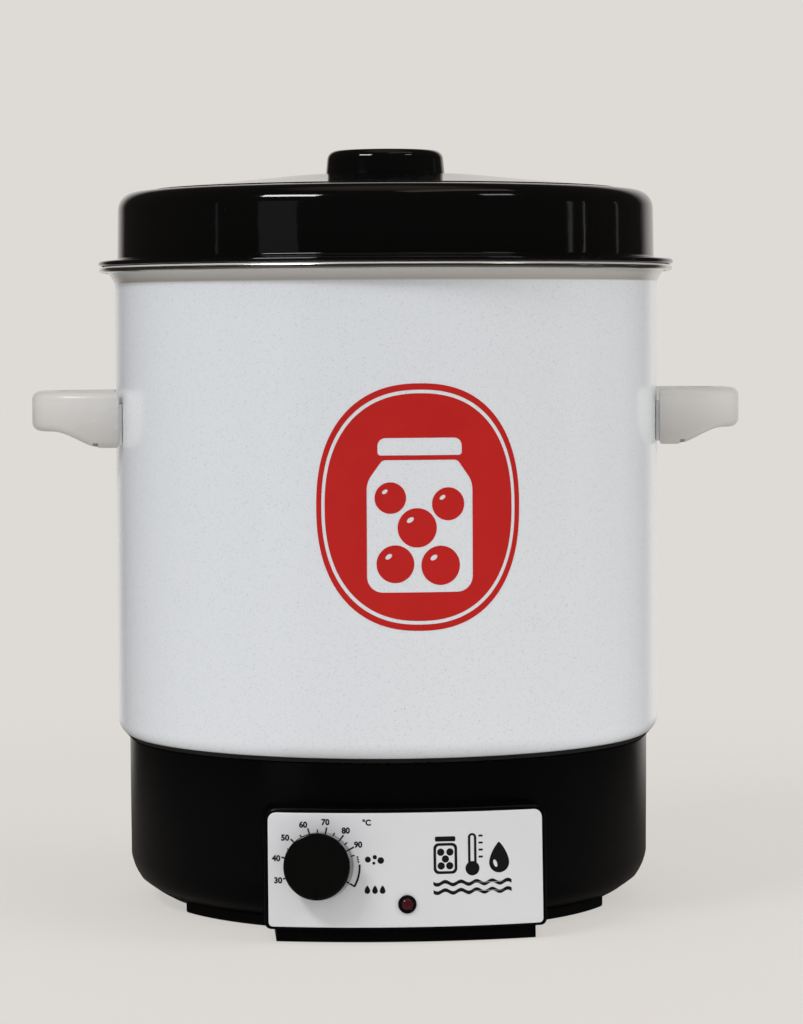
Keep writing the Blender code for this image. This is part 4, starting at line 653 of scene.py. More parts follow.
def white_enamel():
    """White enamel with fine grey specks under a glassy coat.

    Its neck carries painted warm shade, darkest at the neck's lower end.
    """
    finish = Finish("white_speckled_enamel", (0.77, 0.795, 0.825), 0.2, Coat_Weight=0.4, Coat_Roughness=0.08)
    colour = finish.mottled(SPECKS, 0.5, (0.56, 0.59, 0.63), Density=1150.0, Size=0.75)
    colour = finish.mottled(SPECKS, 0.4, (0.40, 0.42, 0.45), colour, Density=520.0, Size=0.3)
    # Painted warm shade on the neck: strongest near its lower end, none below it
    thin = finish.span(finish.height(), 0.25, 1.0, FLANGE_LOW, NECK_LOW + 0.001)
    above = finish.span(finish.height(), 0.0, 1.0, NECK_LOW - 0.0004, NECK_LOW + 0.0004)
    neck = maths(finish.tree, "MULTIPLY", thin, above)
    finish.feed("Base Color", finish.tint(neck, (0.43, 0.40, 0.35), colour))
    finish.sheen(finish.shared(HANDLED, Scale=9.0), 0.15, 0.21)
    return finish.relief(finish.shared(FLOW, Scale=150.0), 0.00008)


def black_enamel():
    """Deep black enamel: almost a mirror, with a little flow in the coat."""
    finish = Finish("black_enamel", (0.0026, 0.0026, 0.0026), 0.05, Specular_IOR_Level=0.42)
    finish.feed("Base Color", finish.mottled(SPECKS, 0.6, (0.03, 0.03, 0.03), Density=340.0, Size=0.12))
    finish.sheen(finish.shared(HANDLED, Scale=11.0), 0.045, 0.085)
    return finish.relief(finish.shared(FLOW, Scale=55.0), 0.00006)


def rim_steel():
    """Bright rolled steel with marks that run along the rim. The top of its bead is painted pale and dull as
    a highlight line.
    """
    finish = Finish("bright_rim_steel", (0.71, 0.69, 0.655), 0.16, 1.0)
    marks = finish.shared(SPUN, Scale=2600.0)
    # Painted highlight: the bead's top turns pale and hardly metallic instead of mirrored
    low, high = (BEAD_MIDDLE[1] + share * BEAD_RADIUS for share in (0.25, 0.55))
    painted_crest_highlight = finish.span(finish.height(), 0.0, 1.0, low, high)
    colour = finish.mottled(HANDLED, 0.45, (0.50, 0.46, 0.40), Scale=16.0)
    finish.feed("Base Color", finish.tint(painted_crest_highlight, (0.93, 0.92, 0.90), colour))
    finish.feed("Metallic", finish.span(painted_crest_highlight, 1.0, 0.2))
    finish.sheen(marks, 0.10, 0.24)
    return finish.relief(marks, 0.00001)


def moulding(name, base, roughness, grain, depth, worn, specular=0.5):
    """Moulded plastic: fine grain, and cloudy handling that shows in its sheen and a little in its tone."""
    finish = Finish(name, base, roughness, Specular_IOR_Level=specular)
    patches = finish.shared(HANDLED, Scale=18.0)
    finish.feed("Base Color", finish.tint(finish.span(patches, 0.0, 0.35), worn))
    finish.sheen(patches, roughness * 0.88, min(1.0, roughness * 1.15))
    return finish.relief(finish.shared(GRAIN, Scale=grain), depth)


def handle_plastic():
    """Pale grey plastic of the handles, with painted shade that makes it greyer towards the underside."""
    finish = Finish("pale_grey_plastic", (0.70, 0.685, 0.66), 0.3)
    patches = finish.shared(HANDLED, Scale=18.0)
    # Painted shade: the handle turns greyer towards its underside
    under = finish.span(finish.height(), 0.75, 0.0, HANDLE_TOP - 0.030, HANDLE_TOP - 0.008)
    colour = finish.tint(finish.span(patches, 0.0, 0.35), (0.64, 0.62, 0.595))
    finish.feed("Base Color", finish.tint(under, (0.52, 0.50, 0.475), colour))
    finish.sheen(patches, 0.26, 0.36)
    return finish.relief(finish.shared(GRAIN, Scale=1600.0), 0.00003)


def metal(name, base, roughness, stain, group=SPUN, scale=1200.0, metallic=1.0):
    """A plain metal: drawn or spun marks in the sheen, and a duller tone in patches."""
    finish = Finish(name, base, roughness, metallic)
    marks = finish.shared(group, Scale=scale)
    finish.feed("Base Color", finish.mottled(HANDLED, 0.6, stain, Scale=25.0))
    finish.sheen(marks, roughness * 0.75, min(1.0, roughness * 1.3))
    return finish.relief(marks, 0.00002)


def silver_panel():
    """Satin silver lacquer with very fine flake and a few soft wipe marks."""
    finish = Finish("silver_panel", (0.79, 0.795, 0.82), 0.4, 0.15)
    flake = finish.shared(GRAIN, Scale=5200.0)
    colour = finish.tint(finish.span(flake, 0.0, 0.5, 0.35, 0.7), (0.83, 0.835, 0.855))
    finish.feed("Base Color", finish.mottled(HANDLED, 0.2, (0.70, 0.70, 0.72), colour, Scale=12.0))
    finish.sheen(flake, 0.36, 0.5)
    return finish.relief(flake, 0.00001)


def red_print():
    """Fired red decal ink, a little uneven in its layer."""
    finish = Finish("red_medallion_ink", (0.54, 0.017, 0.014), 0.2, Coat_Weight=0.3, Coat_Roughness=0.1)
    finish.feed("Base Color", finish.mottled(HANDLED, 0.35, (0.46, 0.012, 0.011), Scale=30.0))
    return finish.relief(finish.shared(FLOW, Scale=220.0), 0.00004)


def panel_ink():
    """Black screen print on the panel."""
    finish = Finish("panel_ink", (0.006, 0.006, 0.006), 0.45, Specular_IOR_Level=0.3)
    finish.feed("Base Color", finish.mottled(GRAIN, 0.5, (0.012, 0.012, 0.012), Scale=3000.0))
    return finish


def pilot_red():
    """Dark red transparent cap of the pilot light, unlit."""
    finish = Finish("dark_red_lens", (0.07, 0.010, 0.017), 0.06, Transmission_Weight=0.25)
    finish.feed("Base Color", finish.mottled(HANDLED, 0.5, (0.05, 0.008, 0.015), Scale=300.0))
    return finish.relief(finish.shared(GRAIN, Scale=2600.0), 0.00001)


# Each moulding's colour, roughness, grain's scale and depth, worn colour and specular level
MOULDINGS = {
    "black_gloss_plastic": ((0.003, 0.003, 0.003), 0.06, 900.0, 0.000006, (0.005, 0.005, 0.005), 0.4),
    "pale_painted_steel": ((0.88, 0.885, 0.89), 0.4, 1100.0, 0.00002, (0.78, 0.78, 0.78)),
    "black_base_plastic": ((0.0014, 0.0016, 0.0019), 0.2, 1400.0, 0.00001, (0.0022, 0.0025, 0.0028), 0.16),
    "gasket_rubber": ((0.012, 0.012, 0.012), 0.7, 1300.0, 0.00004, (0.03, 0.03, 0.03)),
    "foot_rubber": ((0.0030, 0.0031, 0.0033), 0.7, 1000.0, 0.00006, (0.0060, 0.0061, 0.0064), 0.12),
    "ivory_moulding": ((0.66, 0.61, 0.47), 0.5, 1100.0, 0.00004, (0.55, 0.49, 0.36)),
    "wire_insulation": ((0.35, 0.13, 0.05), 0.55, 1500.0, 0.00003, (0.27, 0.10, 0.04)),
}
# Each metal's colour, roughness, stain, pattern of marks and its scale, and how metallic it is
METALS = {
    "screw_steel": ((0.55, 0.54, 0.52), 0.3, (0.33, 0.31, 0.28)),
    "zinc_plated_sheet": ((0.60, 0.61, 0.62), 0.38, (0.45, 0.46, 0.48), GRAIN, 300.0),
    "rack_steel": ((0.63, 0.62, 0.60), 0.32, (0.48, 0.47, 0.44), SPUN, 1500.0, 0.5),
    "cast_aluminium": ((0.66, 0.67, 0.68), 0.5, (0.42, 0.43, 0.44), GRAIN, 700.0),
    "heater_sheath": ((0.20, 0.18, 0.16), 0.45, (0.10, 0.08, 0.07), GRAIN, 900.0),
    "copper": ((0.72, 0.38, 0.24), 0.28, (0.36, 0.18, 0.11), GRAIN, 800.0),
}
OWN_FINISHES = [white_enamel(), black_enamel(), rim_steel(), handle_plastic(), silver_panel(), red_print()]
OWN_FINISHES += [panel_ink(), pilot_red()]
FINISHES = {finish.name: finish for finish in OWN_FINISHES}
FINISHES |= {name: moulding(name, *values) for name, values in MOULDINGS.items()}
FINISHES |= {name: metal(name, *values) for name, values in METALS.items()}


def dress(made, slot, *nodes, body="canner", ink=None):
    """Give a piece its finish, the body it moves with and the nodes it stands for."""
    made.data.materials.clear()
    made.data.materials.append(FINISHES[ink or slot].material)
    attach(made, body)
    if nodes:
        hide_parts(*nodes)


# Pot, rim, lid and rack

def make_pot():
    """Enamelled pot: flange, neck, wall, corner and floor, with its metal's thickness."""
    neck = [(POT_RADIUS + NECK_REACH, FLANGE_LOW, 0.003), (POT_RADIUS, NECK_LOW, 0.0012)]
    floor = [(POT_RADIUS, POT_FLOOR, POT_CORNER), (0, POT_FLOOR)]
    outline = rounded([(FLANGE_TIP, FLANGE_LOW), *neck, *floor], 8, support=0.0006)
    dress(turned("pot_shell_enamelled", outline, wall=POT_METAL), "white_speckled_enamel", "pot_shell")


def make_rim_band():
    """Bright band folded over the pot's flange, with a round bead at its tip."""
    under, over, tip = FLANGE_LOW - GAP, POT_TOP + GAP, FLANGE_TIP + GAP
    outside = [(BAND_START, over + BAND_METAL), *arc(BEAD_MIDDLE, BEAD_RADIUS, pi / 2, -pi / 2, 12)]
    inside = [(BAND_END, under - BAND_METAL), (BAND_END, under)]
    inside += [(tip, under), (tip, over), (BAND_START, over)]
    dress(turned("rim_band_bright", [*outside, *inside]), "bright_rim_steel", "rim_band")


def lid_outline():
    """Outer side of the lid: screw hole, crown with its small pressed step, wall and curled edge.

    The crown falls by its drop times u (1.2 - 0.2 u), where u is the share of the way to the wall.
    """
    share = np.linspace(0.07, 0.80, 10)
    across = CROWN_FLAT + (LID_WALL_RADII[0] - CROWN_FLAT) * share
    rise = LID_TOP - (LID_TOP - LID_SHOULDER - 0.0007) * share * (1.2 - 0.2 * share)
    crown = [tuple(spot) for spot in np.column_stack([across, rise])]
    step = [(*crown.pop(), 0.0004), (across[-1] + 0.0008, rise[-1] - 0.0005, 0.0004)]
    wall = [(LID_WALL_RADII[0], LID_SHOULDER, 0.015), (LID_WALL_RADII[1], LID_BRIM, 0.0016)]
    curl = arc(CURL_MIDDLE, CURL_RADIUS, radians(75), radians(-120), 12)
    corners = [(KNOB_BORE, LID_TOP), (CROWN_FLAT, LID_TOP, 0.12), *crown, *step, *wall, tuple(curl[0])]
    return rounded(corners, 10, support=0.0015)[:-1] + curl


def make_lid():
    """Lid with its crown, deep wall and curled brim."""
    shell = turned("lid_shell_enamelled", lid_outline(), wall=LID_METAL)
    dress(shell, "black_enamel", "lid_shell", body="lid")


def make_lid_knob():
    """Low round knob, hollow below round its boss, and the washer and screw that hold it from inside."""
    outside = [(0, KNOB_HEIGHT), (KNOB_RADII[0], KNOB_HEIGHT, 0.006), (KNOB_RADII[1], 0, 0.0006)]
    hollow = [(KNOB_HOLLOW, 0), (KNOB_HOLLOW, KNOB_HOLLOW_TOP, 0.002)]
    boss = [(KNOB_BOSS, KNOB_HOLLOW_TOP, 0.001), (KNOB_BOSS, 0)]
    bore = [(KNOB_BORE, 0), (KNOB_BORE, KNOB_BORE_TOP), (0, KNOB_BORE_TOP)]
    knob = rounded([*outside, *hollow, *boss, *bore], 8, support=0.0008)
    dress(turned("lid_knob_round", knob, at(0, 0, KNOB_SEAT)), "black_gloss_plastic", "lid_knob", body="lid")
    top = LID_TOP - LID_METAL - GAP
    low, radius = top - WASHER_METAL, WASHER_RADIUS
    corners = [(KNOB_BORE, top), (radius, top, 0.0002), (radius, low, 0.0002), (KNOB_BORE, low)]
    washer = turned("lid_knob_washer_steel", rounded(corners, 3, shut=True), sides=64)
    dress(washer, "screw_steel", "lid_knob_washer", body="lid")
    add_screw("lid_knob_screw", at(0, 0, low - GAP), *KNOB_SCREW, "lid")


def make_rack():
    """Perforated rack with a turned-down rim, on the pot's floor."""
    corners = [(RACK_MIDDLE_HOLE, RACK_TOP), (RACK_RADIUS, RACK_TOP, 0.003), (RACK_RADIUS, RACK_LOW)]
    rack = turned("jar_rack_pressed", rounded(corners, 8, support=0.002), wall=RACK_METAL)
    cutters = []
    for share, count in RACK_HOLE_RINGS:
        for x, y in arc((0, 0), RACK_RADIUS * share, 0, 2 * pi, count)[:-1]:
            cutters.append(peg(RACK_HOLE, -0.004, 0.004, at(x, y, RACK_TOP)))
    for number in range(RACK_NOTCH_COUNT):
        turn = 2 * pi * number / RACK_NOTCH_COUNT
        axes = np.array([[cos(turn), -sin(turn), 0], [sin(turn), cos(turn), 0], [0, 0, 1]])
        cutters.append(brick(RACK_NOTCH, (RACK_RADIUS, 0, RACK_LOW), (axes, np.zeros(3))))
    dress(carved(rack, joined("rack_cutter", cutters)), "rack_steel", "jar_rack", body="rack")


# Handles

def handle_rings(steps=76):
    """Sections of the right handle along its D-shaped path, with rounded ends that lie on the bracket.

    The path is x = middle + reach s^k, y = -half_length c^k, with s and c the sine and cosine.
    """
    turns = np.linspace(0, pi, 4001)
    out = HANDLE_MIDDLE + HANDLE_REACH * np.sin(turns) ** HANDLE_POWER
    path = np.column_stack([out, -HANDLE_HALF_LENGTH * signed_power(np.cos(turns), HANDLE_POWER)])
    path = path[path[:, 0] > HANDLE_START]
    along = np.concatenate([[0], np.cumsum(np.linalg.norm(np.diff(path, axis=0), axis=1))])
    even = np.linspace(0, along[-1], steps)
    path = np.column_stack([np.interp(even, along, path[:, axis]) for axis in (0, 1)])
    ahead = np.gradient(path, axis=0)
    ahead[[0, -1]] = [[1, 0], [-1, 0]]
    ahead /= np.linalg.norm(ahead, axis=1)[:, None]
    across = np.column_stack([ahead[:, 1], -ahead[:, 0]])
    rings = [handle_section(middle, side, 0.0) for middle, side in zip(path, across)]
    start, end = handle_end(path[0], across[0]), handle_end(path[-1], across[-1])
    return np.array(start + rings + end[::-1])


def handle_end(middle, side):
    """The rings that round off one end of a handle against its bracket, from the bracket outwards."""
    rings = []
    for out, inset in HANDLE_END_RINGS:
        ring = handle_section(middle, side, inset)
        ring[:, 0] = np.sqrt(SEAT_RADIUS**2 - ring[:, 1] ** 2) + out
        rings.append(ring)
    return rings


def handle_section(middle, side, inset, steps=6):
    """One rounded rectangle of a handle, from its top down to an underside that rises away from the pot.

    The underside rises by s^2 (3 - 2 s), where s goes from 0 to 1 along the swell.
    """
    away = middle[0] - POT_RADIUS
    (wide, narrow), (deep, shallow) = HANDLE_WIDTHS, HANDLE_DEPTHS
    width = wide + (narrow - wide) * np.clip(away / HANDLE_TAPER, 0, 1)
    swell = np.clip((away - HANDLE_SWELL[0]) / HANDLE_SWELL[1], 0, 1)
    low = HANDLE_TOP - deep + (deep - shallow) * swell * swell * (3 - 2 * swell)
    half_width, half_height = width / 2 - HANDLE_EDGE, (HANDLE_TOP - low) / 2 - HANDLE_EDGE
    ring = []
    for quarter, (right, rise) in enumerate(((1, 1), (-1, 1), (-1, -1), (1, -1))):
        for step in range(steps + 1):
            turn = pi / 2 * (quarter + step / steps)
            out = right * half_width + (HANDLE_EDGE - inset) * cos(turn)
            up = rise * half_height + (HANDLE_EDGE - inset) * sin(turn)
            ring.append((middle[0] + side[0] * out, middle[1] + side[1] * out, (HANDLE_TOP + low) / 2 + up))
    return np.array(ring)


def make_handles():
    """Both loop handles with their screws, and the brackets that carry them."""
    rings = handle_rings()
    across, level = HANDLE_SCREW_PLACE
    for label, side in (("left", -1), ("right", 1)):
        handle = lofted(f"handle_{label}_loop", rings * (side, 1, 1), crease=50)
        recesses = []
        for along in HANDLE_ENDS.values():
            recesses.append(peg(SCREW_RECESS, -0.02, GAP, at(side * across, along, level), 40))
            notch = (side * NOTCH_PLACE[0], along * 1.25, NOTCH_PLACE[1])
            recesses.append(brick(NOTCH_SIZE, notch, round_off=0.0007))
        dress(carved(handle, *recesses), "pale_grey_plastic", f"handle_{label}")
        for end, along in HANDLE_ENDS.items():
            place = at(side * across, along, level)
            add_screw(f"handle_screw_{label}_{end}", place, *HANDLE_SCREW)
        make_bracket(label, side)


def make_bracket(label, side):
    """Curved lug between pot and handle, with rounded edges, and the two tongues inside the handle's legs."""
    (near, far), (low, high) = LUG_RADII, LUG_LEVELS
    corners = [(near, low, 0.0004), (far, low, 0.0008), (far, high, 0.0008), (near, high, 0.0004)]
    section = rounded(corners, 4, shut=True)
    turns = np.linspace(-LUG_HALF_TURN, LUG_HALF_TURN, 25)
    rings = [[(side * r * cos(turn), r * sin(turn), h) for r, h in section] for turn in turns]
    parts = [lofted("lug", rings)]
    for along in HANDLE_ENDS.values():
        start = sqrt(TONGUE_START**2 - along**2)
        middle = (side * (start + TONGUE_END) / 2, along, TONGUE_MIDDLE)
        parts.append(brick((TONGUE_END - start, 0.011, 0.003), middle, round_off=0.002))
    dress(joined(f"handle_bracket_{label}_lug", parts), "pale_painted_steel", f"handle_bracket_{label}")


# Base

def base_outline():
    """Outer side of the base from its top edge down to its foot."""
    top, edge = BASE_TOP_RADIUS, 0.0006
    (across, up), (high, low) = BASE_CORNER, BASE_LEVELS
    spots = [(top - edge, BASE_TOP), (top, BASE_TOP - edge), (BASE_MIDDLE_RADIUS, high)]
    spots.append((BASE_SIDE_RADIUS + 0.00002, low))
    return spots + [(BASE_SIDE_RADIUS - across * (1 - x), BASE_LOW + up * z) for x, z in CORNER_SHARES]


def base_radius(height):
    """Outer radius of the base at a height."""
    spots = np.array(base_outline())[::-1]
    return np.interp(height, spots[:, 1], spots[:, 0])


def make_base():
    """Base shell, open below and above, with its window behind the housing."""
    outline = np.array([*base_outline(), (BASE_FOOT_RADIUS, BASE_LOW)])
    levels = (outline[:-1, 1] + outline[1:, 1]) / 2
    columns = np.arange(BASE_SIDES)
    low_enough = (levels < WINDOW_HIGH) & (levels > WINDOW_LOW)
    in_front = (columns < WINDOW_HALF_COLUMNS) | (columns >= BASE_SIDES - WINDOW_HALF_COLUMNS)
    keep = ~np.outer(low_enough, in_front)
    spots = round_grid(outline, BASE_SIDES, -pi / 2)
    shell = walled("base_shell_moulded", spots[:, ::-1], BASE_WALL, keep[:, ::-1])
    dress(shell, "black_base_plastic", "base_shell")


def make_gasket():
    """Rubber ring between base and pot. Its upper side follows the pot's rounded corner."""
    middle, radius = (POT_RADIUS - POT_CORNER, POT_FLOOR + POT_CORNER), POT_CORNER + GAP
    start, end = (asin((edge - middle[0]) / radius) - pi / 2 for edge in GASKET_RADII)
    seat = [(BASE_TOP_RADIUS, BASE_TOP + GAP), (GASKET_RADII[0], BASE_TOP + GAP)]
    gasket = turned("base_gasket_ring", [*arc(middle, radius, start, end, 8), *seat])
    dress(gasket, "gasket_rubber", "base_gasket")


def make_bottom_plate():
    """Pressed plate under the base, raised round the rod and slotted for air."""
    (outer, inner), (far, near) = PLATE_DISH, PLATE_SLOT_ENDS
    rise = [(outer, PLATE_LEVEL, 0.006), (inner, PLATE_RAISED, 0.006), (PLATE_ROD_HOLE, PLATE_RAISED)]
    rim, *dish = rounded([(PLATE_RADIUS, PLATE_LEVEL), *rise], 5)
    plate = [rim, (far, PLATE_LEVEL), (near, PLATE_LEVEL), *dish]
    slotted = np.isin(np.arange(BASE_SIDES) % PLATE_SLOT_EVERY, PLATE_SLOT_COLUMNS)
    keep = ~np.outer(np.arange(len(plate) - 1) == 1, slotted)
    pressed = walled("bottom_plate_pressed", round_grid(plate, BASE_SIDES), PLATE_METAL, keep)
    dress(pressed, "zinc_plated_sheet", "bottom_plate")


def make_foot(label, angle):
    """One foot: a curved bar with rounded edges and ends, and its sunk screw.

    Its ends are drawn in by e (1 - sqrt(1 - s^2)), where s goes from 0 to 1 along the rounded stretch.
    """
    (near, far), (step, ledge) = FOOT_RADII, FOOT_STEP
    rows, ends = [], np.array([0.955, 0.98, 0.995, 1.0])
    for share in np.concatenate([-ends[::-1], np.linspace(-FOOT_EVEN, FOOT_EVEN, 11), ends]):
        past = max(0.0, (abs(share) - FOOT_EVEN) / (1 - FOOT_EVEN))
        inset = FOOT_ROUND_OFF * (1 - sqrt(1 - past**2))
        turn = angle + FOOT_HALF_TURN * share
        under = [(near + inset, inset, 0.0008), (far - inset, inset, 0.0008), (far - inset, FOOT_TOP, 0.0002)]
        over = [(step, FOOT_TOP, 0.0001), (step, ledge, 0.0001), (near + inset, ledge, 0.0003)]
        rows.append([(r * cos(turn), r * sin(turn), h) for r, h in rounded([*under, *over], 3, shut=True)])
    radius, level = FOOT_SCREW_PLACE
    place = at(radius * cos(angle), radius * sin(angle), level)
    foot = carved(lofted(f"foot_{label}_pad", rows), peg(FOOT_RECESS, -0.01, GAP, place))
    dress(foot, "foot_rubber", f"foot_{label}")
    add_screw(f"foot_screw_{label}", place, *FOOT_SCREW)


def make_gland():
    """Cord gland in the rear wall: a bush with a flange outside and a lip inside, open for a cord."""
    face, (lip, end) = BASE_TOP_RADIUS + GAP, GLAND_LIP_ENDS
    rise, ledge, bevel = face + 0.003, face + 0.0022, face + 0.0012
    mouth = [(GLAND_BORE, rise, 0.0006), (0.0066, rise, 0.0003), (0.0070, ledge, 0.0002)]
    flange = [(0.0092, ledge, 0.0006), (GLAND_FLANGE, bevel, 0.0006), (GLAND_FLANGE, face, 0.0002)]
    neck = [(GLAND_NECK, face), (GLAND_NECK, lip)]
    inside = [(GLAND_LIP, lip, 0.0004), (GLAND_LIP, end, 0.0004), (GLAND_BORE, end, 0.0004)]
    rearwards = np.array([[1, 0, 0], [0, 0, 1], [0, -1, 0]], float), np.array([0, 0, GLAND_HEIGHT])
    outline = rounded([*mouth, *flange, *neck, *inside], 4, shut=True)
    dress(turned("cord_gland_bush", outline, rearwards, sides=64), "black_gloss_plastic", "cord_gland")


# Control front

def front(across, height):
    """Y of the housing's front: an arc in plan that leans back as it rises."""
    bow = FRONT_RADIUS - np.sqrt(FRONT_RADIUS**2 - across**2)
    return bow - FRONT_REACH + (height - HOUSING_LOW) * tan(FRONT_LEAN)


def on_front(across, height, proud=0.0):
    """A frame on the housing's front: X to the right, Z along the outward normal."""
    turn = asin(across / FRONT_RADIUS)
    normal = np.array([tan(turn), -1, tan(FRONT_LEAN)])
    normal /= np.linalg.norm(normal)
    right = np.array([cos(turn), sin(turn), 0])
    axes = np.column_stack([right, np.cross(normal, right), normal])
    return axes, np.array([across, front(across, height), height]) + normal * proud


def face_grid(size, corners, inset, places, shares):
    """X and Z of every grid point of a rounded panel, drawn in by inset.

    Size is its half width, low and high, and corners are the radii of its low and high corners.
    """
    half, low, high = size[0] - inset, size[1] + inset, size[2] - inset
    across = places / size[0] * half

    def drawn_in(corner):
        corner = max(corner - inset, 0.00005)
        past = np.clip(np.abs(across) - (half - corner), 0, corner)
        return corner - np.sqrt(np.maximum(corner**2 - past**2, 0))

    bottom, top = low + drawn_in(corners[0]), high - drawn_in(corners[1])
    height = bottom[None] + (top - bottom)[None] * shares[:, None]
    return np.broadcast_to(across, height.shape), height


def panel_places(half_width, corner, extra):
    """Places across: close together in the rounded corners, even between them, and the extra ones."""
    bends = corner * (1 - np.sin(np.linspace(0, pi / 2, 9)))
    flat = np.linspace(corner - half_width, half_width - corner, 26)
    return np.unique(np.round(np.concatenate([bends - half_width, flat, half_width - bends, extra]), 7))


def border_cells(rows, columns):
    """The (row, column) pairs round the edge of a grid, in order."""
    border = [(0, c) for c in range(columns)] + [(r, columns - 1) for r in range(1, rows)]
    border += [(rows - 1, c) for c in range(columns - 2, -1, -1)]
    return border + [(r, 0) for r in range(rows - 2, 0, -1)]


def front_piece(name, size, corners, proud, edge, back, wall, holes=()):
    """A piece that follows the front: a face, a rounded edge, then side walls to back(x, z).

    The edge's rings have inset e (1 - sin t) and depth e (1 - cos t). A hole is left, right, low and high.
    """
    half_width, low, high = size
    places = panel_places(half_width, corners[1], [side for hole in holes for side in hole[:2]])
    levels = [(level - low) / (high - low) for hole in holes for level in hole[2:]]
    shares = np.unique(np.concatenate([np.linspace(0, 1, 15), levels]))
    layers = []
    for turn in np.linspace(0, pi / 2, 6):
        across, height = face_grid(size, corners, edge * (1 - sin(turn)), places, shares)
        layers.append(np.stack([across, front(across, height) - proud + edge * (1 - cos(turn)), height], -1))
    face = layers[0]
    rows, columns = face.shape[:2]
    border = np.array(border_cells(rows, columns))
    rim = [layer[tuple(border.T)] for layer in layers[1:]]
    last = rim[-1].copy()
    last[:, 1] = back(last[:, 0], last[:, 2])
    rim.append(last)
    cells = quads(rows, columns)
    x, _, z = face.reshape(-1, 3)[cells].mean(1).T
    for left, right, bottom, top in holes:
        open_here = (x > left) & (x < right) & (z > bottom) & (z < top)
        cells, x, z = cells[~open_here], x[~open_here], z[~open_here]
    faces, ring, offset = [cells], border[:, 0] * columns + border[:, 1], rows * columns
    for _ in rim:
        following = offset + np.arange(len(border))
        faces.append(np.column_stack([ring, np.roll(ring, -1), np.roll(following, -1), following]))
        ring, offset = following, offset + len(border)
    return skin_with_wall(name, np.concatenate([face.reshape(-1, 3), *rim]), np.vstack(faces), wall)


def skin_with_wall(name, spots, faces, wall):
    """An open skin that faces the front, made solid: its copy stands wall behind it along its normals."""
    work = bmesh.new()
    verts = [work.verts.new(spot) for spot in spots]
    for face in faces:
        work.faces.new([verts[number] for number in face])
    bmesh.ops.recalc_face_normals(work, faces=work.faces)
    work.normal_update()
    if sum(face.normal.y * face.calc_area() for face in work.faces) > 0:
        bmesh.ops.reverse_faces(work, faces=work.faces)
    work.normal_update()
    work.verts.index_update()
    outer = np.array([vert.co[:] for vert in work.verts])
    depth = [np.array(vert.normal) * wall * min(vert.calc_shell_factor(), 1.5) for vert in work.verts]
    cells = np.array([[vert.index for vert in face.verts] for face in work.faces])
    work.free()
    return two_sided(name, outer, outer - np.array(depth), cells)


def to_base(across, height):
    """Y where the housing's sides meet the base's outer surface, with the usual gap."""
    return -np.sqrt(np.maximum((base_radius(height) + GAP) ** 2 - across**2, 0.0001))


def to_recess(across, height):
    """Y of the panel plate's rear edge, inside the housing's recess."""
    return front(across, height) - PANEL_PROUD + PANEL_DEPTH


def hole_round(middle, half):
    """Left, right, low and high of a hole."""
    return middle[0] - half[0], middle[0] + half[0], middle[1] - half[1], middle[1] + half[1]


def make_front():
    """Control housing with its plinth, and the panel plate in its recess."""
    holes = (hole_round(DIAL, DIAL_HOLE), hole_round(PILOT, PILOT_HOLE))
    size = (HOUSING_HALF_WIDTH, HOUSING_LOW, HOUSING_HIGH)
    housing = front_piece("housing", size, HOUSING_CORNERS, 0.0, HOUSING_EDGE, to_base, HOUSING_WALL, holes)
    size = (PLINTH_HALF_WIDTH, 0.0, PLINTH_HIGH)
    plinth = front_piece("plinth", size, PLINTH_CORNERS, -PLINTH_INSET, PLINTH_EDGE, to_base, PLINTH_WALL)
    dress(joined("control_housing_moulded", [housing, plinth]), "black_base_plastic", "control_housing")
    size = (PANEL_HALF_WIDTH, PANEL_LOW, PANEL_HIGH)
    plate = front_piece(
        "panel_plate_bent", size, PANEL_CORNERS, PANEL_PROUD, PANEL_EDGE, to_recess, PANEL_METAL, holes
    )
    dress(plate, "silver_panel", "panel_plate")


def make_dial_knob():
    """Plain round knob of the thermostat, hollow behind, with a short groove as its pointer."""
    seat, radius, top = on_front(*DIAL), DIAL_KNOB_RADIUS, DIAL_KNOB_HEIGHT
    low, inner, roof = DIAL_KNOB_LOW, radius - DIAL_KNOB_WALL, top - DIAL_KNOB_WALL
    (boss, boss_low), (bore, bore_top) = DIAL_BOSS, DIAL_BORE
    outside = [(0, top), (radius - 0.0006, top, 0.0014), (radius, low, 0.0003), (inner, low)]
    hollow = [(inner, roof, 0.001), (boss, roof), (boss, boss_low)]
    socket = [(bore, boss_low), (bore, bore_top), (0, bore_top)]
    knob = turned("thermostat_knob_round", rounded([*outside, *hollow, *socket], 6, support=0.0006), seat)
    groove = brick((0.0012, 0.013, 0.0012), (0, -0.0175, top), seat, 0.0005)
    dress(carved(knob, groove), "black_gloss_plastic", "thermostat_knob", body="dial")


def make_pilot_light():
    """The pilot light's holder, with a collar on the panel, and its domed red cap."""
    seat = on_front(*PILOT, PANEL_PROUD)
    (cup, cup_end), (collar, lip), (shank, shank_end) = PILOT_CUP, PILOT_COLLAR, PILOT_SHANK
    inside = [(0, cup_end), (cup, cup_end), (cup, lip, 0.0003)]
    outside = [(collar, lip, 0.0005), (collar, GAP, 0.0001), (shank, GAP), (shank, shank_end), (0, shank_end)]
    holder = turned("pilot_holder_ring", rounded([*inside, *outside], 5), seat, sides=64)
    dress(holder, "black_gloss_plastic", "pilot_holder")
    radius, end = PILOT_CAP
    dome = [(0, 0.0024), (0.0024, 0.0021, 0.004), (radius, lip, 0.0006), (radius, end), (0, end)]
    dress(turned("pilot_lens_cap", rounded(dome, 6), seat, sides=64), "dark_red_lens", "pilot_lens")


# Prints

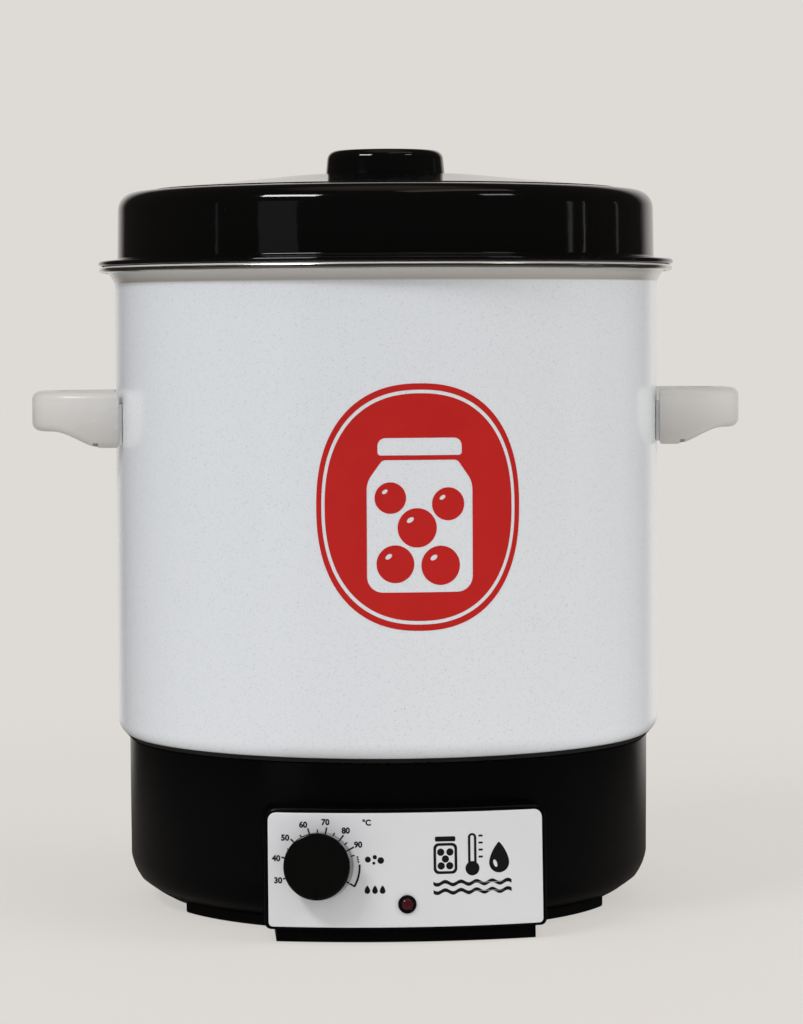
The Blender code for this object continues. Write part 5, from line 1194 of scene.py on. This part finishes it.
def flat_shape(loops):
    """Closed 2-D loops filled so that a loop inside a loop is a hole. Returns points (n, 2) and faces."""
    curve = bpy.data.curves.new("shape", "CURVE")
    curve.dimensions, curve.fill_mode = "2D", "BOTH"
    for loop in loops:
        spline = curve.splines.new("POLY")
        spline.points.add(len(loop) - 1)
        spots = np.column_stack([loop, np.zeros(len(loop)), np.ones(len(loop))])
        spline.points.foreach_set("co", spots.ravel())
        spline.use_cyclic_u = True
    return flattened(curve)


def lettering(text, size):
    """Plain numerals as flat faces, centred on (0, 0)."""
    curve = bpy.data.curves.new("numeral", "FONT")
    curve.body, curve.size, curve.resolution_u, curve.offset = text, size, 3, size * 0.045
    curve.align_x, curve.align_y = "CENTER", "CENTER"
    spots, faces = flattened(curve)
    return spots - (spots.min(0) + spots.max(0)) / 2, faces


def flattened(curve):
    """A flat curve or text as points (n, 2) and faces."""
    thing = bpy.data.objects.new("flat", curve)
    bpy.context.scene.collection.objects.link(thing)
    bpy.context.view_layer.update()
    mesh = bpy.data.meshes.new_from_object(thing.evaluated_get(bpy.context.evaluated_depsgraph_get()))
    spots = np.array([vert.co[:2] for vert in mesh.vertices])
    faces = [list(face.vertices) for face in mesh.polygons]
    bpy.data.objects.remove(thing)
    bpy.data.curves.remove(curve)
    bpy.data.meshes.remove(mesh)
    return spots, faces


def film(name, shapes, onto, lift):
    """Flat shapes laid on a surface as a closed film: onto(u, v) gives a point and its outward normal."""
    spots, faces, offset = [], [], 0
    for flat, cells in shapes:
        spots.append(flat)
        faces += [[number + offset for number in cell] for cell in cells]
        offset += len(flat)
    under, normal = onto(*np.concatenate(spots).T)
    edges = {}
    for face in faces:
        for first, second in zip(face, face[1:] + face[:1]):
            key = (min(first, second), max(first, second))
            edges[key] = None if key in edges else (first, second)
    strips = [[a, b, b + offset, a + offset] for a, b in (edge for edge in edges.values() if edge)]
    whole = [[number + offset for number in face] for face in faces] + [face[::-1] for face in faces] + strips
    return piece(name, np.concatenate([under, under + normal * lift]), whole, crease=30)


def oval(middle, half_width, half_height, steps=72, power=2.0, turn=0.0):
    """Loop of a superellipse: (a |cos|^(2/n), b |sin|^(2/n)), with its signs."""
    t = np.linspace(0, 2 * pi, steps, endpoint=False)
    x = half_width * signed_power(np.cos(t), 2 / power)
    y = half_height * signed_power(np.sin(t), 2 / power)
    across, up = x * cos(turn) - y * sin(turn), x * sin(turn) + y * cos(turn)
    return np.column_stack([across + middle[0], up + middle[1]])


def medallion():
    """Loops of the red motif in metres about its own middle.

    It is an oval with a bare ring, and a preserving jar with fruit left bare inside it.
    """
    sizes = ((0.0665, 0.0785), (0.0632, 0.0745), (0.0610, 0.0722))
    loops = [oval((0, 0), *size, 160, 2.3) for size in sizes]
    low = [(-0.034, -0.054, 0.010), (0.034, -0.054, 0.010)]
    shoulders = [(0.034, 0.016, 0.016), (0.024, 0.030, 0.004), (-0.024, 0.030, 0.004), (-0.034, 0.016, 0.016)]
    lid = [(-0.027, 0.033, 0.002), (0.027, 0.033, 0.002), (0.027, 0.044, 0.005), (-0.027, 0.044, 0.005)]
    loops += [np.array(rounded([*low, *shoulders], 8, shut=True)), np.array(rounded(lid, 5, shut=True))]
    low_fruit = ((-0.016, -0.036, 0.012), (0.013, -0.037, 0.0125), (-0.002, -0.013, 0.0125))
    for x, y, radius in (*low_fruit, (-0.019, 0.006, 0.010), (0.018, 0.002, 0.0105)):
        loops.append(oval((x, y), radius, radius, 48))
        loops.append(oval((x - radius * 0.35, y + radius * 0.4), radius * 0.2, radius * 0.12, 20, turn=0.6))
    return [loop * MOTIF_SIZE for loop in loops]


def make_medallion():
    """The red motif, printed round the front of the pot and cut along the pot's own facets."""
    spots, faces = flat_shape(medallion())
    mesh = bpy.data.meshes.new("medallion")
    mesh.from_pydata([(x, y, 0) for x, y in spots], [], faces)
    work = bmesh.new()
    work.from_mesh(mesh)
    shift, level = MOTIF_PLACE
    step = 2 * pi * POT_RADIUS / SIDES
    first, last = (int((side * MOTIF_HALF_WIDTH + shift) / step) for side in (-1, 1))
    for number in range(first - 1, last + 2):
        everything = work.verts[:] + work.edges[:] + work.faces[:]
        cut = (number * step - shift, 0, 0)
        bmesh.ops.bisect_plane(work, geom=everything, plane_co=cut, plane_no=(1, 0, 0))
    work.verts.index_update()
    flat = np.array([vert.co[:2] for vert in work.verts])
    cells = [[vert.index for vert in face.verts] for face in work.faces]
    work.free()
    bpy.data.meshes.remove(mesh)

    def on_pot(along, up):
        turn = (along + shift) / POT_RADIUS
        nothing = np.zeros(len(turn))
        normal = np.column_stack([np.sin(turn), -np.cos(turn), nothing])
        return normal * (POT_RADIUS + PRINT_GAP) + np.column_stack([nothing, nothing, up + level]), normal

    print_film = film("red_medallion", [(flat, cells)], on_pot, DECAL_LAYER)
    dress(print_film, "white_speckled_enamel", ink="red_medallion_ink")


def polar(radius, angle):
    """A spot at a distance and an angle in degrees from (0, 0)."""
    return np.array([radius * cos(radians(angle)), radius * sin(radians(angle))])


def ring_arc(radius, width, start, end, steps):
    """Loop of a thin arc about (0, 0), angles in degrees."""
    outer = arc((0, 0), radius + width / 2, radians(start), radians(end), steps)
    return np.array(outer + arc((0, 0), radius - width / 2, radians(end), radians(start), steps))


def tick(angle, outer, width):
    """Loop of a radial mark of the scale."""
    near, far, side = polar(TICK_START, angle), polar(outer, angle), polar(width / 2, angle + 90)
    return np.array([near - side, far - side, far + side, near + side])


def drop(middle, radius, height, steps=40):
    """Loop of a drop: a circle of that radius whose upper half is drawn up to a point.

    With u = max(sin t, 0), x = r cos t (1 - u^2)^0.35. Above the middle y = u^1.25 (h - r), below it r sin t.
    """
    t = np.linspace(-pi, pi, steps, endpoint=False) + pi / steps
    up = np.maximum(np.sin(t), 0)
    rise = np.where(np.sin(t) > 0, up**1.25 * (height - radius), radius * np.sin(t))
    return np.column_stack([middle[0] + radius * np.cos(t) * (1 - up * up) ** 0.35, middle[1] + rise])


def wave(middle, width, height, thick, humps, steps=90):
    """Loop of a band that follows y = height sin(2 pi humps x / width)."""
    x = np.linspace(-width / 2, width / 2, steps)
    y = height * np.sin(2 * pi * humps * x / width)
    top = np.column_stack([x, y + thick / 2])
    return np.vstack([top, np.column_stack([x, y - thick / 2])[::-1]]) + middle


def signs():
    """Pictograms, each as a list of loops.

    At the right are a jar, a thermometer and a drop above a wave, and two small signs are by the dial.
    """
    jar_middle, stem_x = (0.0235, 0.0500), 0.0400
    jar = [rectangle(jar_middle, 0.0145, 0.0185, 0.0032), rectangle(jar_middle, 0.0112, 0.0152, 0.0020)]
    jar.append(rectangle((0.0235, 0.0617), 0.0125, 0.0030, 0.0008))
    spots = ((-0.0026, -0.0044), (0.0026, -0.0044), (0.0, -0.0003), (-0.0028, 0.0038), (0.0028, 0.0038))
    fruit = [[oval(spot, 0.0022, 0.0022, 24) + jar_middle] for spot in spots]
    stem = [rectangle((stem_x, 0.0545), 0.0052, 0.0205, 0.0026)]
    stem.append(rectangle((stem_x, 0.0552), 0.0022, 0.0165, 0.0011))
    bulb = [oval((stem_x, 0.0437), 0.0043, 0.0043, 32)]
    marks = [[rectangle((0.0452, 0.0505 + 0.0042 * number), 0.0026, 0.0012, 0.0003)] for number in range(4)]
    fall = [drop((0.0565, 0.0468), 0.0062, 0.0185), oval((0.0541, 0.0462), 0.0011, 0.0024, 20, turn=0.35)]
    water = [[wave((stem_x, level), 0.0480, 0.0009, 0.0022, 5)] for level in (0.0352, 0.0302)]
    low_bubbles = ((0.0290, 0.0040, 0.0018), (0.0326, 0.0018, 0.0009))
    bubbles = (*low_bubbles, (0.0332, 0.0054, 0.0013), (0.0368, 0.0034, 0.0020))
    boil = [[oval((x, z), radius, radius, 20) + DIAL] for x, z, radius in bubbles]
    press = [[drop((0.0285 + 0.0046 * number, -0.0148), 0.0017, 0.0050) + DIAL] for number in range(3)]
    return [jar, *fruit, stem, bulb, *marks, fall, *water, *boil, *press]


def make_dial_marks():
    """Temperature scale round the knob, then the pictograms.

    The scale has ticks, numerals, the unit, a dotted start and the arc of the last stage.
    """
    loops = [tick(angle, *TICK) for angle, _ in SCALE.values()]
    loops += [tick(angle, *HALF_TICK) for angle in HALF_TICKS]
    loops += [ring_arc(*STAGE_ARC, 20), tick(*STAGE_TICK)]
    loops += [oval(polar(DOT_PLACE, angle), DOT_RADIUS, DOT_RADIUS, 12) for angle in DOT_ANGLES]
    shapes = [flat_shape([loop + DIAL]) for loop in loops]
    figures = [(text, FIGURE_SIZE, polar(FIGURE_PLACE, angle)) for text, (_, angle) in SCALE.items()]
    for text, size, middle in (*figures, UNIT):
        spots, faces = lettering(text, size)
        shapes.append((spots + middle + DIAL, faces))
    shapes += [flat_shape(loops) for loops in signs()]

    def on_panel(along, up):
        even = np.ones(len(along))
        normal = np.column_stack([along / FRONT_RADIUS, -even, even * tan(FRONT_LEAN)])
        spots = np.column_stack([along, front(along, up) - PANEL_PROUD - PRINT_GAP, up])
        return spots, normal / np.linalg.norm(normal, axis=1)[:, None]

    dress(film("dial_scale_print", shapes, on_panel, INK_LAYER), "silver_panel", ink="panel_ink")


# The rest of the frame, light and camera

def finish_frame_nodes():
    """Give every frame node that stays its procedural finish."""
    for finish, names in INNER_PIECES.items():
        for name in names:
            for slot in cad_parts[name].material_slots:
                slot.material = FINISHES[finish].material


def softbox(name, azimuth, elevation, distance, width, height, power, mirrored=True, colour=(1, 1, 1)):
    """A rectangular lamp that faces the object, which glossy pieces mirror or not.

    Azimuth 0 is the camera's side, and 90 is the object's right.
    """
    across, rise = radians(azimuth), radians(elevation)
    way = Vector((sin(across) * cos(rise), -cos(across) * cos(rise), sin(rise)))
    lamp = bpy.data.lights.new(name, "AREA")
    lamp.shape, lamp.size, lamp.size_y = "RECTANGLE", width, height
    lamp.energy, lamp.color = power, colour
    thing = bpy.data.objects.new(name, lamp)
    thing.location = MIDDLE + way * distance
    thing.rotation_euler = way.to_track_quat("Z", "Y").to_euler()
    thing.visible_glossy = mirrored
    bpy.context.scene.collection.objects.link(thing)


def make_world():
    """Pale backdrop behind, and a darker room in front for what mirrors it."""
    world = bpy.data.worlds.new("studio")
    bpy.context.scene.world = world
    world.use_nodes = True
    tree = world.node_tree
    tree.nodes.clear()
    way = node(tree, "TexCoord").outputs["Generated"]
    away = node(tree, "VectorMath", operation="DOT_PRODUCT", i0=way, i1=AWAY).outputs["Value"]
    up = node(tree, "SeparateXYZ", i0=way).outputs["Z"]
    behind = ramp(tree, away, *BACKDROP_BLEND, ROOM_LEVEL, 1.0, "SMOOTHSTEP")
    above = ramp(tree, up, *CEILING_BLEND, 0.0, CEILING_LEVEL, "SMOOTHSTEP")
    rays = node(tree, "LightPath").outputs
    seen = maths(tree, "MAXIMUM", rays["Is Camera Ray"], rays["Is Transmission Ray"])
    mirrored = maths(tree, "MULTIPLY", rays["Is Glossy Ray"], maths(tree, "MAXIMUM", behind, above))
    lit = maths(tree, "MULTIPLY_ADD", rays["Is Diffuse Ray"], LIGHT_LEVEL, mirrored)
    room = blend(tree, ramp(tree, away, *ROOM_BLEND, way="SMOOTHSTEP"), ROOM, BACKDROP)
    room = blend(tree, rays["Is Camera Ray"], room, BACKDROP)
    colour = blend(tree, rays["Is Diffuse Ray"], room, EVEN_LIGHT)
    ground = node(tree, "Background", Color=colour, Strength=maths(tree, "MAXIMUM", seen, lit))
    node(tree, "OutputWorld", Surface=ground.outputs[0])


def make_lamps():
    """Soft lamps, dim cards for glossy pieces to mirror, and thin strips for the lid's upright glints.

    Each has its azimuth and elevation in degrees, its distance, width and height, and its power in watts.
    """
    softbox("key_from_upper_left", -48, 41, 2.4, 0.9, 0.34, 22)
    softbox("fill_from_the_right", 72, 24, 2.6, 1.6, 1.2, 22, mirrored=False, colour=(1.0, 0.98, 0.945))
    softbox("fill_from_behind", 172, 30, 2.8, 1.6, 1.4, 8, mirrored=False)
    softbox("front_fill", -12, 16, 3.4, 1.6, 1.2, 2.4, mirrored=False)
    softbox("glint_upper_right", 50, 41, 2.6, 0.55, 0.22, 2.0)
    softbox("pale_card_left", -48, 2, 3.0, 0.9, 1.5, 0.75)
    softbox("ceiling_strip", 46, 66, 2.6, 1.7, 0.4, 1.8, colour=(1.0, 0.87, 0.72))
    strips = ((-77, 0.06, 0.05), (79, 0.12, 0.2), (87, 0.035, 0.12), (110, 0.08, 0.07))
    for number, (azimuth, width, power) in enumerate(strips):
        softbox(f"thin_strip_{number}", azimuth, 4, 3.0, width, 1.0, power)


def make_floor():
    """A round pale floor: rings at radius R (k / n)^1.5 round a flat middle."""
    rows, columns = 40, 96
    reach = FLOOR_REACH * (np.arange(1, rows + 1) / rows) ** 1.5
    spots = round_grid(np.column_stack([reach, np.full(rows, FLOOR_LEVEL)]), columns)
    faces = [list(face) for face in quads(rows, columns, shut_columns=True)] + [list(range(columns))]
    floor = piece("studio_floor", spots, faces)
    floor.data.materials.append(floor_finish())


def floor_finish():
    """Pale matte floor that thins out with distance, so that it has no edge.

    The camera sees it mostly by its own glow, with a soft shadow, and mirrors see it as a darker table.
    """
    finish = Finish(
        "studio_floor", (0.80, 0.79, 0.78), 0.9, Specular_IOR_Level=0.0, Emission_Color=(*BACKDROP, 1)
    )
    rays = node(finish.tree, "LightPath").outputs
    seen = finish.tint(rays["Is Camera Ray"], (0.235, 0.2255, 0.214))
    finish.feed("Base Color", finish.tint(rays["Is Glossy Ray"], (0.16, 0.145, 0.13), seen))
    glow = finish.span(rays["Is Camera Ray"], 0.45, 0.70)
    unmirrored = finish.span(rays["Is Glossy Ray"], 1.0, 0.0)
    finish.feed("Emission Strength", maths(finish.tree, "MULTIPLY", glow, unmirrored))
    far = node(finish.tree, "VectorMath", operation="LENGTH", i0=finish.place).outputs["Value"]
    finish.feed("Alpha", ramp(finish.tree, far, 0.35, 1.2, 1.0, 0.0, "SMOOTHSTEP"))
    return finish.material


def make_camera():
    """The photograph's camera: where it stands, and how it is panned, tilted and rolled."""
    lens = bpy.data.cameras.new("camera")
    lens.lens, lens.sensor_width, lens.sensor_fit = CAMERA_LENS, 36.0, "AUTO"
    camera = bpy.data.objects.new("camera", lens)
    x, y = CAMERA_DISTANCE * sin(CAMERA_AZIMUTH), AXIS_Y - CAMERA_DISTANCE * cos(CAMERA_AZIMUTH)
    camera.location = (x, y, CAMERA_HEIGHT)
    turn = Matrix.Rotation(CAMERA_AZIMUTH + CAMERA_PAN, 4, "Z") @ Matrix.Rotation(CAMERA_TILT, 4, "X")
    camera.rotation_euler = (turn @ Matrix.Rotation(CAMERA_ROLL, 4, "Z")).to_euler()
    bpy.context.scene.collection.objects.link(camera)
    bpy.context.scene.camera = camera
    bpy.context.scene.view_settings.view_transform = "Standard"


make_camera()
make_pot()
make_rim_band()
make_lid()
make_lid_knob()
make_rack()
make_handles()
make_base()
make_gasket()
make_bottom_plate()
for foot_label, foot_angle in FOOT_ANGLES.items():
    make_foot(foot_label, radians(foot_angle))
make_gland()
make_front()
make_dial_knob()
make_pilot_light()
make_medallion()
make_dial_marks()
finish_frame_nodes()
make_world()
make_lamps()
make_floor()
